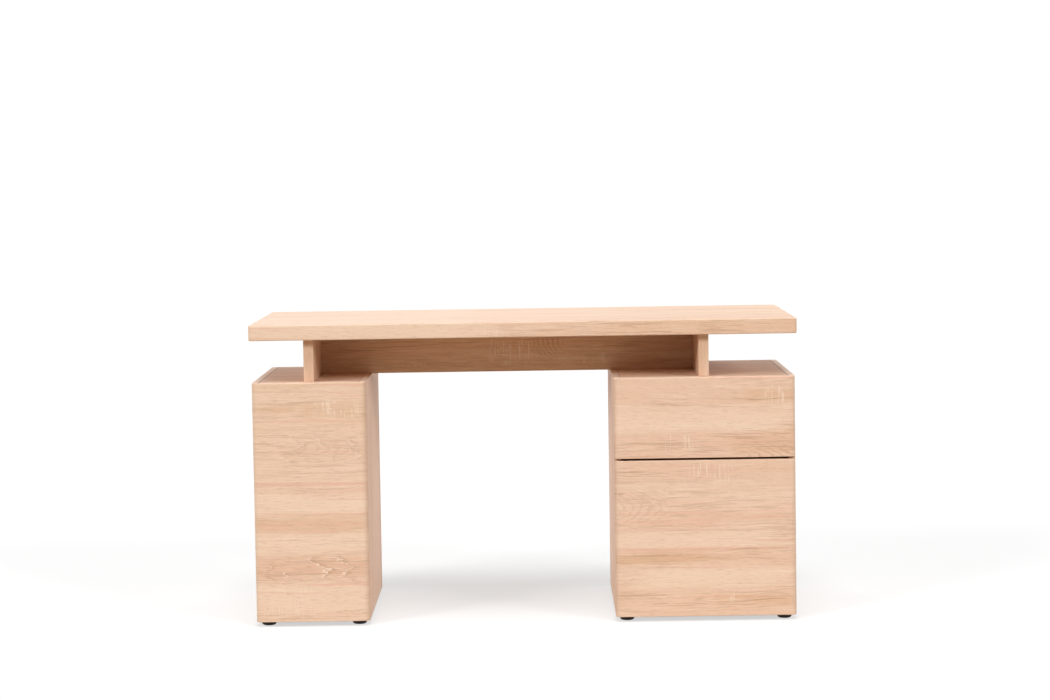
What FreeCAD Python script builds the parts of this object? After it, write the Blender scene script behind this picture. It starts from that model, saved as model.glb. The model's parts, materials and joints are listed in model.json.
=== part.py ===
import FreeCAD, Part
import os

# Pedestal desk: a thick top on two uprights and a cross panel, which stand on two floor cabinets.
# The left cabinet has one door, the right cabinet a drawer above a door.
# Millimetres, +Z up, +X to the right, front towards -Y, origin on the floor under the middle of the top.

V = FreeCAD.Vector
axis_x = V(1, 0, 0)
axis_y = V(0, 1, 0)
axis_z = V(0, 0, 1)

# Whole desk
desktop_width = 1350.0
desktop_depth = 600.0
desktop_thickness = 38.0
desktop_corner_radius = 9.0       # upright corners, seen from above
desktop_edge_radius = 3.0
upright_height = 105.0
upright_thickness = 25.0
cross_panel_thickness = 16.0
cross_panel_setback = 248.0       # from the uprights' front edges to the panel's face
side_overhang = 4.5               # desktop past the cabinets' outer sides
front_overhang = 5.0              # desktop past the faces of the doors and the drawer

# Cabinets
cabinet_height = 595.0
carcass_depth = 502.0             # boards only, without the fronts
left_cabinet_width = 282.0
right_cabinet_width = 448.0
board_thickness = 16.0
arris_radius = 0.8                # softened edges of every board
back_thickness = 3.0
back_inset = 10.0                 # from the boards' rear edges to the back panel
back_groove_depth = 6.0

# Doors and drawer front
front_thickness = 19.0
front_gap = 3.0                   # from the boards' front edges to the fronts' rear faces
front_reveal = 0.5                # fronts short of the cabinet's outline, all round
front_joint = 5.5                 # between the drawer front and the right door
drawer_front_height = 199.75
front_corner_radius = 12.5        # upright edges of the outer face
front_rear_radius = 4.0           # upright edges of the rear face, which pass the side board
front_edge_radius = 1.5           # level edges

# Shelves
shelf_setback = 30.0
shelf_end_gap = 1.0
shelf_pin_radius = 2.5
shelf_pin_depth = 9.0
shelf_pin_reach = 9.0
shelf_pin_inset = 60.0            # from the shelf's front and rear edges
shelf_hole_pitch = 32.0

# Feet
foot_height = 12.0
foot_radius = 18.0
foot_curve_radius = 6.0           # from the wall to the underside
foot_peg_radius = 5.0
foot_peg_length = 10.0
foot_side_inset = 28.0
foot_front_inset = 20.0

# Cam fittings and dowels
overrun = 2.0                     # how far every cutter runs past the face that it cuts
fit_gap = 0.1                     # round a fastener in its bore
cam_radius = 7.4
cam_reach = 34.0                  # from the joint to the middle of the disc
cam_below_axis = 4.3
cam_recess = 0.2
cam_slot_length = 9.0
cam_slot_width = 1.6
cam_slot_depth = 2.5
bolt_thread_radius = 2.4
bolt_thread_length = 10.5
bolt_shank_radius = 2.0
bolt_head_radius = 3.3
bolt_head_length = 4.0
joint_inset = 70.0                # from a board's front and rear edges to its cams
dowel_radius = 4.0
dowel_short = 11.0                # in the board whose face is bored
dowel_long = 22.0                 # in the board whose end is bored
cross_panel_joint_inset = 28.0    # from the cross panel's upper and lower edges to its cams

# Screws
screw_head_radius = 3.6
screw_head_length = 1.8
screw_radius = 1.9
screw_length = 12.0
upright_screw_head_radius = 5.0
upright_screw_head_length = 3.5
upright_screw_radius = 2.5
upright_screw_length = 45.0
upright_screw_inset = 110.0

# Cup hinges, with a single pivot near the door's edge
hinge_end_inset = 85.0            # from the door's upper and lower edges
hinge_cup_radius = 17.5
hinge_cup_depth = 12.0
hinge_cup_wall = 0.8
hinge_cup_inset = 4.0             # from the door's edge to the cup
hinge_flange_thickness = 1.2
hinge_flange_near = 6.0           # from the cup's middle towards the door's edge
hinge_flange_far = 15.0
hinge_flange_half_height = 29.0
hinge_flange_corner = 6.0
cup_screw_offset = 9.5
cup_screw_half_spacing = 22.5
cup_screw_head_radius = 3.2
cup_screw_radius = 1.7
cup_screw_length = 9.0
hinge_pin_radius = 1.5
hinge_pin_inset = 9.5             # from the door's edge to the pivot
hinge_pin_depth = 8.5             # from the door's rear face to the pivot
hinge_pin_gap = 0.1
hinge_eye_radius = 2.4
hinge_arm_thickness = 2.0
hinge_arm_height = 14.0
hinge_arm_length = 62.0           # behind the boards' front edges
hinge_bend_radius = 4.0
hinge_plate_thickness = 5.5
hinge_plate_start = 20.0          # behind the boards' front edges
hinge_plate_length = 38.0
hinge_wing_thickness = 2.0
hinge_wing_half_height = 24.0
hinge_wing_corner = 5.0
hinge_plate_half_height = 6.0
hinge_screw_half_spacing = 16.0
arm_screw_head_length = 1.5
arm_screw_length = 5.0

# Drawer
drawer_rear_room = 52.0           # from the drawer's rear end to the back panel
drawer_top_room = 21.8            # from the drawer sides' upper edges to the cabinet's top board
drawer_board_thickness = 12.0
drawer_bottom_thickness = 3.0
drawer_bottom_height = 10.0       # above the sides' lower edges
drawer_groove_depth = 5.0
drawer_cam_inset = 35.0           # from the sides' upper and lower edges
drawer_back_screw_low = 64.0      # above the sides' lower edges
drawer_back_screw_high = 32.0     # below the sides' upper edges
runner_clearance = 12.5           # between the cabinet's side and the drawer's side
runner_height = 28.0
runner_steel = 1.2
runner_flange = 10.4
runner_setback = 4.0              # behind the boards' front edges
runner_lift = 6.0                 # above the divider
runner_play = 0.8                 # between the drawer's flange and the channel's upper flange
runner_tip_gap = 2.4              # from the cabinet's side to the drawer flange's edge
runner_end_inset = 14.0           # from a runner's end to its roller
runner_screw_inset = 60.0
drawer_runner_screw_inset = 90.0
runner_screw_head_length = 1.1
roller_width = 6.5
roller_gap = 3.2                  # from the cabinet's side to the roller
roller_play = 0.3                 # between a roller and what it runs on
roller_edge_radius = 1.0
front_roller_radius = 10.0
rear_roller_radius = 12.0
axle_radius = 2.5
axle_head_radius = 4.5
axle_head_thickness = 0.5

# Push latches
latch_length = 38.0
latch_width = 15.0
latch_axis_drop = 8.0             # from the board that carries the latch to its plunger
drawer_latch_axis_drop = 20.0
latch_nose = 4.0                  # from the boards' front edges to the housing
latch_free_inset = 46.0           # from the cabinet's inner face to a door latch
latch_corner_radius = 3.0
latch_wing_length = 16.0
latch_wing_reach = 10.0
latch_wing_thickness = 3.0
plunger_radius = 4.0
plunger_length = 28.0
plunger_nose_radius = 1.5
plunger_gap = 0.2                 # round the plunger
plunger_touch = 0.3               # from the plunger to what it pushes
plunger_stroke = 2.5

# Places that follow from the sizes
face_y = -desktop_depth / 2 + front_overhang
front_rear_y = face_y + front_thickness
carcass_y = front_rear_y + front_gap
rear_y = carcass_y + carcass_depth
middle_y = (carcass_y + rear_y) / 2
cabinet_top_z = foot_height + cabinet_height
desktop_under_z = cabinet_top_z + upright_height
desktop_top_z = desktop_under_z + desktop_thickness
floor_board_z = foot_height + board_thickness
top_board_z = cabinet_top_z - board_thickness
divider_centre = cabinet_top_z - front_reveal - drawer_front_height - front_joint / 2
divider_low_z = divider_centre - board_thickness / 2
divider_top_z = divider_low_z + board_thickness
back_rear_y = rear_y - back_inset
back_front_y = back_rear_y - back_thickness
flat_tolerance = 1e-6

boards = {}
cuts = {}
groups = {}


class Cabinet:
    def __init__(self, name, outer_x, inward, width):
        self.name = name
        self.outer_x = outer_x
        self.inward = inward
        self.width = width

    def x(self, from_outer):
        return self.outer_x + self.inward * from_outer

    def span(self, start, end):
        return tuple(sorted((self.x(start), self.x(end))))

    def ends(self):
        # each side board's name, the place of its inner face and the way from it into the cabinet
        into = axis_x * self.inward
        yield self.name + "_outer_side", self.x(board_thickness), into
        yield self.name + "_inner_side", self.x(self.width - board_thickness), into * -1


left = Cabinet("left", -desktop_width / 2 + side_overhang, 1, left_cabinet_width)
right = Cabinet("right", desktop_width / 2 - side_overhang, -1, right_cabinet_width)


def box(x_span, y_span, z_span):
    lows = [span[0] for span in (x_span, y_span, z_span)]
    sizes = [span[1] - span[0] for span in (x_span, y_span, z_span)]
    return Part.makeBox(*sizes, V(*lows))


def grown(span, gap):
    return (span[0] - gap, span[1] + gap)


def board(x_span, y_span, z_span):
    blank = box(x_span, y_span, z_span)
    return blank.makeFillet(arris_radius, blank.Edges)


def rod(radius, start, along, length):
    return Part.makeCylinder(radius, length, start, along)


def prism(points, along):
    return Part.Face(Part.makePolygon(points + points[:1])).extrude(along)


def rounded_outline(corners):
    # corners: (point, radius) in order round the outline, each rounded by an arc
    arcs = []
    for index, (corner, radius) in enumerate(corners):
        before = (corners[index - 1][0] - corner).normalize()
        after = (corners[(index + 1) % len(corners)][0] - corner).normalize()
        centre = corner + (before + after) * radius
        crown = centre + (corner - centre).normalize() * radius
        arcs.append((corner + before * radius, crown, corner + after * radius))
    edges = []
    for index, (start, crown, end) in enumerate(arcs):
        edges.append(Part.Arc(start, crown, end).toShape())
        edges.append(Part.LineSegment(end, arcs[(index + 1) % len(arcs)][0]).toShape())
    return Part.Face(Part.Wire(edges))


def moulded_board(x_span, y_span, z_span, front_radius, rear_radius, edge_radius):
    x0, x1 = x_span
    y0, y1 = y_span
    low = z_span[0]
    outline = rounded_outline([
        (V(x0, y0, low), front_radius),
        (V(x1, y0, low), front_radius),
        (V(x1, y1, low), rear_radius),
        (V(x0, y1, low), rear_radius),
    ])
    blank = outline.extrude(axis_z * (z_span[1] - low))
    level = [edge for edge in blank.Edges if edge.BoundBox.ZLength < flat_tolerance]
    return blank.makeFillet(edge_radius, level)


def cut_later(name, *cutters):
    cuts.setdefault(name, []).extend(cutters)


def collect(name, *solids):
    groups.setdefault(name, []).extend(solids)


def cam_disc(middle, into, cam_out, axis_depth):
    face = middle + cam_out * (axis_depth - cam_recess)
    disc = rod(cam_radius, face, cam_out * -1, axis_depth - cam_recess + cam_below_axis)
    channel_start = middle - into * (cam_radius + overrun)
    channel_length = cam_radius + overrun + bolt_head_length / 2 + fit_gap
    channel = rod(bolt_head_radius + fit_gap, channel_start, into, channel_length)
    across = cam_out.cross(into)
    slots = []
    for along, side in ((into, across), (across, into)):
        half = along * (cam_slot_length / 2)
        wide = side * (cam_slot_width / 2)
        corners = [face - half - wide, face + half - wide, face + half + wide, face - half + wide]
        slots.append(prism(corners, cam_out * -cam_slot_depth))
    return disc.cut([channel] + slots)


def cam_joint(carrier, receiver, seat, into, cam_out, axis_depth, bolt_group, disc_group):
    # a bolt screwed into the receiver's face runs into the carrier's end, where a disc holds its head
    middle = seat + into * cam_reach
    thread = rod(bolt_thread_radius, seat - into * bolt_thread_length, into, bolt_thread_length)
    shank = rod(bolt_shank_radius, seat, into, cam_reach)
    head = rod(bolt_head_radius, middle - into * (bolt_head_length / 2), into, bolt_head_length)
    collect(bolt_group, thread.fuse([shank, head]).removeSplitter())
    collect(disc_group, cam_disc(middle, into, cam_out, axis_depth))
    disc_bore_depth = overrun + axis_depth + cam_below_axis + fit_gap
    disc_bore_start = middle + cam_out * (axis_depth + overrun)
    disc_bore = rod(cam_radius + fit_gap, disc_bore_start, cam_out * -1, disc_bore_depth)
    bolt_bore = rod(bolt_head_radius + fit_gap, seat - into * overrun, into, overrun + cam_reach)
    cut_later(carrier, disc_bore, bolt_bore)
    thread_bore_depth = overrun + bolt_thread_length + fit_gap
    thread_bore = rod(bolt_thread_radius + fit_gap, seat + into * overrun, into * -1, thread_bore_depth)
    cut_later(receiver, thread_bore)


def dowel_joint(carrier, receiver, seat, into):
    collect("wood_dowels", rod(dowel_radius, seat - into * dowel_short, into, dowel_short + dowel_long))
    bore = rod(dowel_radius + fit_gap, seat - into * (dowel_short + fit_gap), into,
               dowel_short + dowel_long + 2 * fit_gap)
    cut_later(carrier, bore)
    cut_later(receiver, bore)


def screw(face, into, head_radius, head_length, shank_radius, shank_length):
    # a flat-headed screw whose head lies flush in the face
    head = Part.makeCone(head_radius, shank_radius, head_length, face, into)
    shank = rod(shank_radius, face + into * head_length, into, shank_length)
    return head.fuse(shank).removeSplitter()


def drive_screw(group, bored, face, into, head_radius, head_length, shank_radius, shank_length):
    collect(group, screw(face, into, head_radius, head_length, shank_radius, shank_length))
    hole = screw(face, into, head_radius + fit_gap, head_length,
                 shank_radius + fit_gap, shank_length + fit_gap)
    for name in bored:
        cut_later(name, hole)
    return hole


def pan_screw(face, into, head_length, shank_length):
    # a screw whose head stands on the face
    crown = face - into * head_length
    head = rod(screw_head_radius, crown, into, head_length)
    rim = [edge for edge in head.Edges if edge.CenterOfMass.distanceToPoint(crown) < flat_tolerance]
    head = head.makeFillet(head_length / 2, rim)
    return head.fuse(rod(screw_radius, face, into, shank_length)).removeSplitter()


def drive_pan_screw(group, bored, face, into, head_length, shank_length):
    collect(group, pan_screw(face, into, head_length, shank_length))
    hole = rod(screw_radius + fit_gap, face - into * overrun, into, overrun + shank_length + fit_gap)
    for name in bored:
        cut_later(name, hole)
    return hole


# Desktop, uprights and cross panel

def desktop():
    half = desktop_width / 2
    boards["desktop"] = moulded_board(
        (-half, half), (-desktop_depth / 2, desktop_depth / 2), (desktop_under_z, desktop_top_z),
        desktop_corner_radius, desktop_corner_radius, desktop_edge_radius)


def upright_span(cabinet):
    middle = cabinet.width / 2
    return cabinet.span(middle - upright_thickness / 2, middle + upright_thickness / 2)


def upright(cabinet):
    name = cabinet.name + "_upright"
    boards[name] = board(upright_span(cabinet), (carcass_y, rear_y), (cabinet_top_z, desktop_under_z))
    middle_x = cabinet.x(cabinet.width / 2)
    inner = axis_x * cabinet.inward
    for y in (carcass_y + joint_inset, rear_y - joint_inset):
        seat = V(middle_x, y, desktop_under_z)
        cam_joint(name, "desktop", seat, axis_z * -1, inner, upright_thickness / 2, "cam_bolts", "cam_discs")
    dowel_joint(name, "desktop", V(middle_x, middle_y, desktop_under_z), axis_z * -1)
    for y in (carcass_y + upright_screw_inset, rear_y - upright_screw_inset):
        drive_screw("upright_screws", (name, cabinet.name + "_top"), V(middle_x, y, top_board_z), axis_z,
                    upright_screw_head_radius, upright_screw_head_length,
                    upright_screw_radius, upright_screw_length)


def cross_panel():
    x_span = (upright_span(left)[1], upright_span(right)[0])
    face = carcass_y + cross_panel_setback
    boards["cross_panel"] = board(
        x_span, (face, face + cross_panel_thickness), (cabinet_top_z, desktop_under_z))
    middle = face + cross_panel_thickness / 2
    heights = (cabinet_top_z + cross_panel_joint_inset, desktop_under_z - cross_panel_joint_inset)
    for name, x, into in (("left_upright", x_span[0], axis_x), ("right_upright", x_span[1], axis_x * -1)):
        for z in heights:
            cam_joint("cross_panel", name, V(x, middle, z), into, axis_y, cross_panel_thickness / 2,
                      "cam_bolts", "cam_discs")


# Cabinet boards

def side_boards(cabinet):
    starts = {"_outer_side": 0, "_inner_side": cabinet.width - board_thickness}
    for suffix, start in starts.items():
        boards[cabinet.name + suffix] = board(
            cabinet.span(start, start + board_thickness), (carcass_y, rear_y), (foot_height, cabinet_top_z))


def level_board(cabinet, suffix, low_z, end_y):
    name = cabinet.name + suffix
    x_span = cabinet.span(board_thickness, cabinet.width - board_thickness)
    boards[name] = board(x_span, (carcass_y, end_y), (low_z, low_z + board_thickness))
    middle_z = low_z + board_thickness / 2
    for side, x, into in cabinet.ends():
        for y in (carcass_y + joint_inset, rear_y - joint_inset):
            cam_joint(name, side, V(x, y, middle_z), into, axis_z * -1, board_thickness / 2,
                      "cam_bolts", "cam_discs")
        dowel_joint(name, side, V(x, middle_y, middle_z), into)


def back_panel(cabinet):
    reach = back_groove_depth - fit_gap
    x_span = cabinet.span(board_thickness - reach, cabinet.width - board_thickness + reach)
    y_span = (back_front_y, back_rear_y)
    z_span = (floor_board_z - reach, top_board_z + reach)
    boards[cabinet.name + "_back"] = box(x_span, y_span, z_span)
    groove = box(grown(x_span, fit_gap), grown(y_span, fit_gap), grown(z_span, fit_gap))
    for suffix in ("_outer_side", "_inner_side", "_top", "_bottom"):
        cut_later(cabinet.name + suffix, groove)


def shelf(cabinet, suffix, low_z):
    front = carcass_y + shelf_setback
    end_gap = board_thickness + shelf_end_gap
    x_span = cabinet.span(end_gap, cabinet.width - end_gap)
    boards[cabinet.name + suffix] = board(
        x_span, (front, back_front_y - shelf_end_gap), (low_z, low_z + board_thickness))
    pin_z = low_z - shelf_pin_radius
    pin_length = shelf_pin_depth + shelf_pin_reach
    for side, x, into in cabinet.ends():
        for y in (front + shelf_pin_inset, back_front_y - shelf_pin_inset):
            seat = V(x, y, pin_z)
            collect("shelf_pins", rod(shelf_pin_radius, seat - into * shelf_pin_depth, into, pin_length))
            for step in (-shelf_hole_pitch, 0, shelf_hole_pitch):
                start = seat + axis_z * step + into * overrun
                cut_later(side, rod(shelf_pin_radius + fit_gap, start, into * -1,
                                    overrun + shelf_pin_depth + fit_gap))


def shelves(cabinet, suffixes, ceiling_z):
    # evenly spaced between the cabinet's bottom board and the board above
    count = len(suffixes)
    clear = (ceiling_z - floor_board_z - count * board_thickness) / (count + 1)
    for index, suffix in enumerate(suffixes):
        shelf(cabinet, suffix, floor_board_z + clear + index * (clear + board_thickness))


def foot(x, y):
    centre = V(foot_radius - foot_curve_radius, 0, foot_curve_radius)
    crown = centre + V(1, 0, -1).normalize() * foot_curve_radius
    base = V(0, 0, 0)
    base_rim = V(centre.x, 0, 0)
    wall_foot = V(foot_radius, 0, centre.z)
    rest = [
        wall_foot,
        V(foot_radius, 0, foot_height),
        V(foot_peg_radius, 0, foot_height),
        V(foot_peg_radius, 0, foot_height + foot_peg_length),
        V(0, 0, foot_height + foot_peg_length),
        base,
        base_rim,
    ]
    edges = [Part.Arc(base_rim, crown, wall_foot).toShape()] + Part.makePolygon(rest).Edges
    turned = Part.Face(Part.Wire(edges)).revolve(base, axis_z, 360)
    turned.translate(V(x, y, 0))
    return turned


def feet(cabinet):
    for from_outer in (foot_side_inset, cabinet.width - foot_side_inset):
        for y in (carcass_y + foot_front_inset, rear_y - foot_front_inset):
            x = cabinet.x(from_outer)
            collect("feet", foot(x, y))
            start = V(x, y, foot_height - overrun)
            cut_later(cabinet.name + "_bottom", rod(foot_peg_radius + fit_gap, start, axis_z,
                                                    overrun + foot_peg_length + fit_gap))


# Doors and their hinges, drawn from the outer face of the side board and the front edges of the boards

pin_x = front_reveal + hinge_pin_inset
pin_y = -front_gap - hinge_pin_depth
cup_x = front_reveal + hinge_cup_inset + hinge_cup_radius
arm_near_x = board_thickness + hinge_plate_thickness
arm_far_x = arm_near_x + hinge_arm_thickness
plate_middle_y = hinge_plate_start + hinge_plate_length / 2


def place(shape, cabinet, z):
    if cabinet.inward < 0:
        shape = shape.mirror(V(0, 0, 0), axis_x)
    placed = shape.copy()
    placed.translate(V(cabinet.outer_x, carcass_y, z))
    return placed


def cup_screw_places():
    for z in (-cup_screw_half_spacing, cup_screw_half_spacing):
        yield V(cup_x + cup_screw_offset, hinge_flange_thickness - front_gap, z)


def cup_screw(place_on_flange, gap):
    return screw(place_on_flange, axis_y * -1, cup_screw_head_radius + gap, hinge_flange_thickness,
                 cup_screw_radius + gap, cup_screw_length + gap)


def cup_blank(radius, depth):
    return rod(radius, V(cup_x, -front_gap, 0), axis_y * -1, depth)


def hinge_cup():
    low = V(cup_x - hinge_flange_near, -front_gap, -hinge_flange_half_height)
    high = V(cup_x + hinge_flange_far, -front_gap, hinge_flange_half_height)
    flange = rounded_outline([
        (low, hinge_flange_corner),
        (V(high.x, low.y, low.z), hinge_flange_corner),
        (high, hinge_flange_corner),
        (V(low.x, low.y, high.z), hinge_flange_corner),
    ]).extrude(axis_y * hinge_flange_thickness)
    hollow_radius = hinge_cup_radius - fit_gap - hinge_cup_wall
    hollow = rod(hollow_radius, V(cup_x, overrun - front_gap, 0), axis_y * -1,
                 overrun + hinge_cup_depth - hinge_cup_wall)
    pin_hole = rod(hinge_pin_radius, V(pin_x, pin_y, -hinge_cup_radius), axis_z, 2 * hinge_cup_radius)
    screw_holes = [cup_screw(spot, fit_gap) for spot in cup_screw_places()]
    blank = cup_blank(hinge_cup_radius - fit_gap, hinge_cup_depth).fuse(flange)
    return blank.cut([hollow, pin_hole] + screw_holes)


def hinge_pin():
    pin = rod(hinge_pin_radius, V(pin_x, pin_y, -hinge_cup_radius), axis_z, 2 * hinge_cup_radius)
    return pin.common(cup_blank(hinge_cup_radius - fit_gap, hinge_cup_depth))


def hinge_arm():
    # a strip that reaches from the pivot in the cup, round the side board's edge, along its inner face
    half = hinge_arm_thickness / 2
    low = -hinge_arm_height / 2
    bend = V(arm_far_x - hinge_bend_radius, pin_y - half + hinge_bend_radius, low)
    diagonal = V(1, -1, 0).normalize()
    inner_radius = hinge_bend_radius - hinge_arm_thickness
    eye_front = V(pin_x, pin_y - half, low)
    eye_rear = V(pin_x, pin_y + half, low)
    run_front = V(bend.x, pin_y - half, low)
    run_rear = V(bend.x, pin_y + half, low)
    leg_far = V(arm_far_x, bend.y, low)
    leg_near = V(arm_near_x, bend.y, low)
    tail_far = V(arm_far_x, hinge_arm_length, low)
    tail_near = V(arm_near_x, hinge_arm_length, low)
    edges = [
        Part.LineSegment(eye_front, run_front).toShape(),
        Part.Arc(run_front, bend + diagonal * hinge_bend_radius, leg_far).toShape(),
        Part.LineSegment(leg_far, tail_far).toShape(),
        Part.LineSegment(tail_far, tail_near).toShape(),
        Part.LineSegment(tail_near, leg_near).toShape(),
        Part.Arc(leg_near, bend + diagonal * inner_radius, run_rear).toShape(),
        Part.LineSegment(run_rear, eye_rear).toShape(),
        Part.LineSegment(eye_rear, eye_front).toShape(),
    ]
    strip = Part.Face(Part.Wire(edges)).extrude(axis_z * hinge_arm_height)
    eye = rod(hinge_eye_radius, V(pin_x, pin_y, low), axis_z, hinge_arm_height)
    bore = rod(hinge_pin_radius + hinge_pin_gap, V(pin_x, pin_y, low - overrun), axis_z,
               hinge_arm_height + 2 * overrun)
    return strip.fuse(eye).cut([bore, arm_screw_hole()]).removeSplitter()


def arm_screw_hole():
    start = V(arm_far_x + overrun, plate_middle_y, 0)
    return rod(screw_radius + fit_gap, start, axis_x * -1, overrun + arm_screw_length + fit_gap)


def plate_screw_places():
    for z in (-hinge_screw_half_spacing, hinge_screw_half_spacing):
        yield V(board_thickness + hinge_wing_thickness, plate_middle_y, z)


def plate_screw(place_on_wing, gap):
    return screw(place_on_wing, axis_x * -1, screw_head_radius + gap, screw_head_length,
                 screw_radius + gap, screw_length + gap)


def hinge_plate():
    y_span = (hinge_plate_start, hinge_plate_start + hinge_plate_length)
    low = V(board_thickness, y_span[0], -hinge_wing_half_height)
    high = V(board_thickness, y_span[1], hinge_wing_half_height)
    wing = rounded_outline([
        (low, hinge_wing_corner),
        (V(low.x, high.y, low.z), hinge_wing_corner),
        (high, hinge_wing_corner),
        (V(low.x, low.y, high.z), hinge_wing_corner),
    ]).extrude(axis_x * hinge_wing_thickness)
    block = box((board_thickness, arm_near_x), y_span, (-hinge_plate_half_height, hinge_plate_half_height))
    holes = [plate_screw(spot, fit_gap) for spot in plate_screw_places()]
    return wing.fuse(block).cut(holes + [arm_screw_hole()]).removeSplitter()


def hinge(cabinet, door, z):
    name = cabinet.name
    collect(name + "_hinge_cups", place(hinge_cup(), cabinet, z))
    collect(name + "_hinge_pins", place(hinge_pin(), cabinet, z))
    collect(name + "_hinge_arms", place(hinge_arm(), cabinet, z))
    collect(name + "_hinge_plates", place(hinge_plate(), cabinet, z))
    arm_face = V(arm_far_x, plate_middle_y, 0)
    collect("fitting_screws", place(pan_screw(arm_face, axis_x * -1, arm_screw_head_length, arm_screw_length),
                                    cabinet, z))
    for spot in plate_screw_places():
        collect("fitting_screws", place(plate_screw(spot, 0), cabinet, z))
        cut_later(name + "_outer_side", place(plate_screw(spot, fit_gap), cabinet, z))
    for spot in cup_screw_places():
        collect(name + "_cup_screws", place(cup_screw(spot, 0), cabinet, z))
        cut_later(door, place(cup_screw(spot, fit_gap), cabinet, z))
    cup_bore = cup_blank(hinge_cup_radius, hinge_cup_depth + fit_gap)
    cut_later(door, place(cup_bore, cabinet, z))


def front_board(cabinet, name, z_span):
    x_span = cabinet.span(front_reveal, cabinet.width - front_reveal)
    boards[name] = moulded_board(x_span, (face_y, front_rear_y), z_span,
                                 front_corner_radius, front_rear_radius, front_edge_radius)


def door(cabinet, z_span):
    name = cabinet.name + "_door"
    front_board(cabinet, name, z_span)
    for z in (z_span[0] + hinge_end_inset, z_span[1] - hinge_end_inset):
        hinge(cabinet, name, z)


# Push latches

def push_latch(name, carrier, x, tip_y, mount_z, up, axis_drop):
    # up is 1 for a latch that hangs under its board and -1 for one that stands on it
    axis_start = V(x, tip_y, mount_z - up * axis_drop)
    plunger = rod(plunger_radius, axis_start, axis_y, plunger_length)
    nose = [edge for edge in plunger.Edges if abs(edge.CenterOfMass.y - tip_y) < flat_tolerance]
    collect(name + "_plunger", plunger.makeFillet(plunger_nose_radius, nose))

    housing_y = tip_y + front_gap - plunger_touch + latch_nose
    low_z = axis_start.z - up * latch_width / 2
    half = latch_width / 2
    y_span = (housing_y, housing_y + latch_length)
    body = box((x - half, x + half), y_span, tuple(sorted((low_z, mount_z))))
    upright_edges = [edge for edge in body.Edges if edge.BoundBox.ZLength > flat_tolerance]
    body = body.makeFillet(latch_corner_radius, upright_edges)

    wing_y = housing_y + (latch_length - latch_wing_length) / 2
    wing_face_z = mount_z - up * latch_wing_thickness
    wing_half = half + latch_wing_reach
    wing = box((x - wing_half, x + wing_half), (wing_y, wing_y + latch_wing_length),
               tuple(sorted((wing_face_z, mount_z))))
    corners = [edge for edge in wing.Edges if edge.BoundBox.ZLength > flat_tolerance]
    wing = wing.makeFillet(latch_corner_radius, corners)

    bore_length = overrun + tip_y + plunger_length + plunger_stroke + plunger_gap - housing_y
    bore = rod(plunger_radius + plunger_gap, V(x, housing_y - overrun, axis_start.z), axis_y, bore_length)
    holes = []
    for offset in (-half - latch_wing_reach / 2, half + latch_wing_reach / 2):
        face = V(x + offset, wing_y + latch_wing_length / 2, wing_face_z)
        holes.append(drive_screw("fitting_screws", (carrier,), face, axis_z * up,
                                 screw_head_radius, screw_head_length, screw_radius, screw_length))
    collect(name + "_latch", body.fuse(wing).cut([bore] + holes).removeSplitter())


def door_latch(cabinet, carrier, mount_z):
    x = cabinet.x(cabinet.width - board_thickness - latch_free_inset)
    push_latch(cabinet.name + "_door", carrier, x, front_rear_y + plunger_touch, mount_z, 1, latch_axis_drop)


# Drawer and its roller runners

runner_middle_z = divider_top_z + runner_lift + runner_height / 2
drawer_low_z = runner_middle_z - runner_height / 2 + runner_steel
drawer_top_z = top_board_z - drawer_top_room
drawer_end_y = back_front_y - drawer_rear_room
drawer_depth = drawer_end_y - front_rear_y
drawer_flange_top = runner_height / 2 - runner_steel - runner_play    # above the runner's middle
drawer_flange_under = drawer_flange_top - runner_steel
drawer_inner_x = runner_clearance + drawer_board_thickness            # from the cabinet's inner face


def drawer_boards():
    z_span = (drawer_low_z, drawer_top_z)
    wall = board_thickness
    for side, start in (("drawer_right_side", wall + runner_clearance),
                        ("drawer_left_side", right.width - wall - drawer_inner_x)):
        x_span = right.span(start, start + drawer_board_thickness)
        boards[side] = board(x_span, (front_rear_y, drawer_end_y), z_span)
    inner = right.span(wall + drawer_inner_x, right.width - wall - drawer_inner_x)
    back_y = drawer_end_y - drawer_board_thickness
    boards["drawer_back"] = board(inner, (back_y, drawer_end_y), z_span)

    reach = drawer_groove_depth - fit_gap
    low = drawer_low_z + drawer_bottom_height
    x_span = grown(inner, reach)
    y_span = (front_rear_y - reach, back_y + reach)
    bottom_span = (low, low + drawer_bottom_thickness)
    boards["drawer_bottom"] = box(x_span, y_span, bottom_span)
    groove = box(grown(x_span, fit_gap), grown(y_span, fit_gap), grown(bottom_span, fit_gap))
    for name in ("drawer_left_side", "drawer_right_side", "drawer_back", "drawer_front"):
        cut_later(name, groove)

    for side, face_x, into in (("drawer_left_side", inner[0], axis_x),
                               ("drawer_right_side", inner[1], axis_x * -1)):
        middle_x = face_x - into.x * drawer_board_thickness / 2
        for z in (drawer_low_z + drawer_cam_inset, drawer_top_z - drawer_cam_inset):
            cam_joint(side, "drawer_front", V(middle_x, front_rear_y, z), axis_y, into,
                      drawer_board_thickness / 2, "drawer_cam_fittings", "drawer_cam_fittings")
        outer_x = face_x - into.x * drawer_board_thickness
        for z in (drawer_low_z + drawer_back_screw_low, drawer_top_z - drawer_back_screw_high):
            face = V(outer_x, back_y + drawer_board_thickness / 2, z)
            drive_screw("drawer_screws", (side, "drawer_back"), face, into,
                        screw_head_radius, screw_head_length,
                        screw_radius, drawer_board_thickness + screw_length)


def runner_prism(profile, wall_x, into, y_span):
    # profile: points (distance from the cabinet's side, height from the runner's middle)
    points = [V(wall_x + into.x * reach, y_span[0], runner_middle_z + height) for reach, height in profile]
    return prism(points, axis_y * (y_span[1] - y_span[0]))


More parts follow.
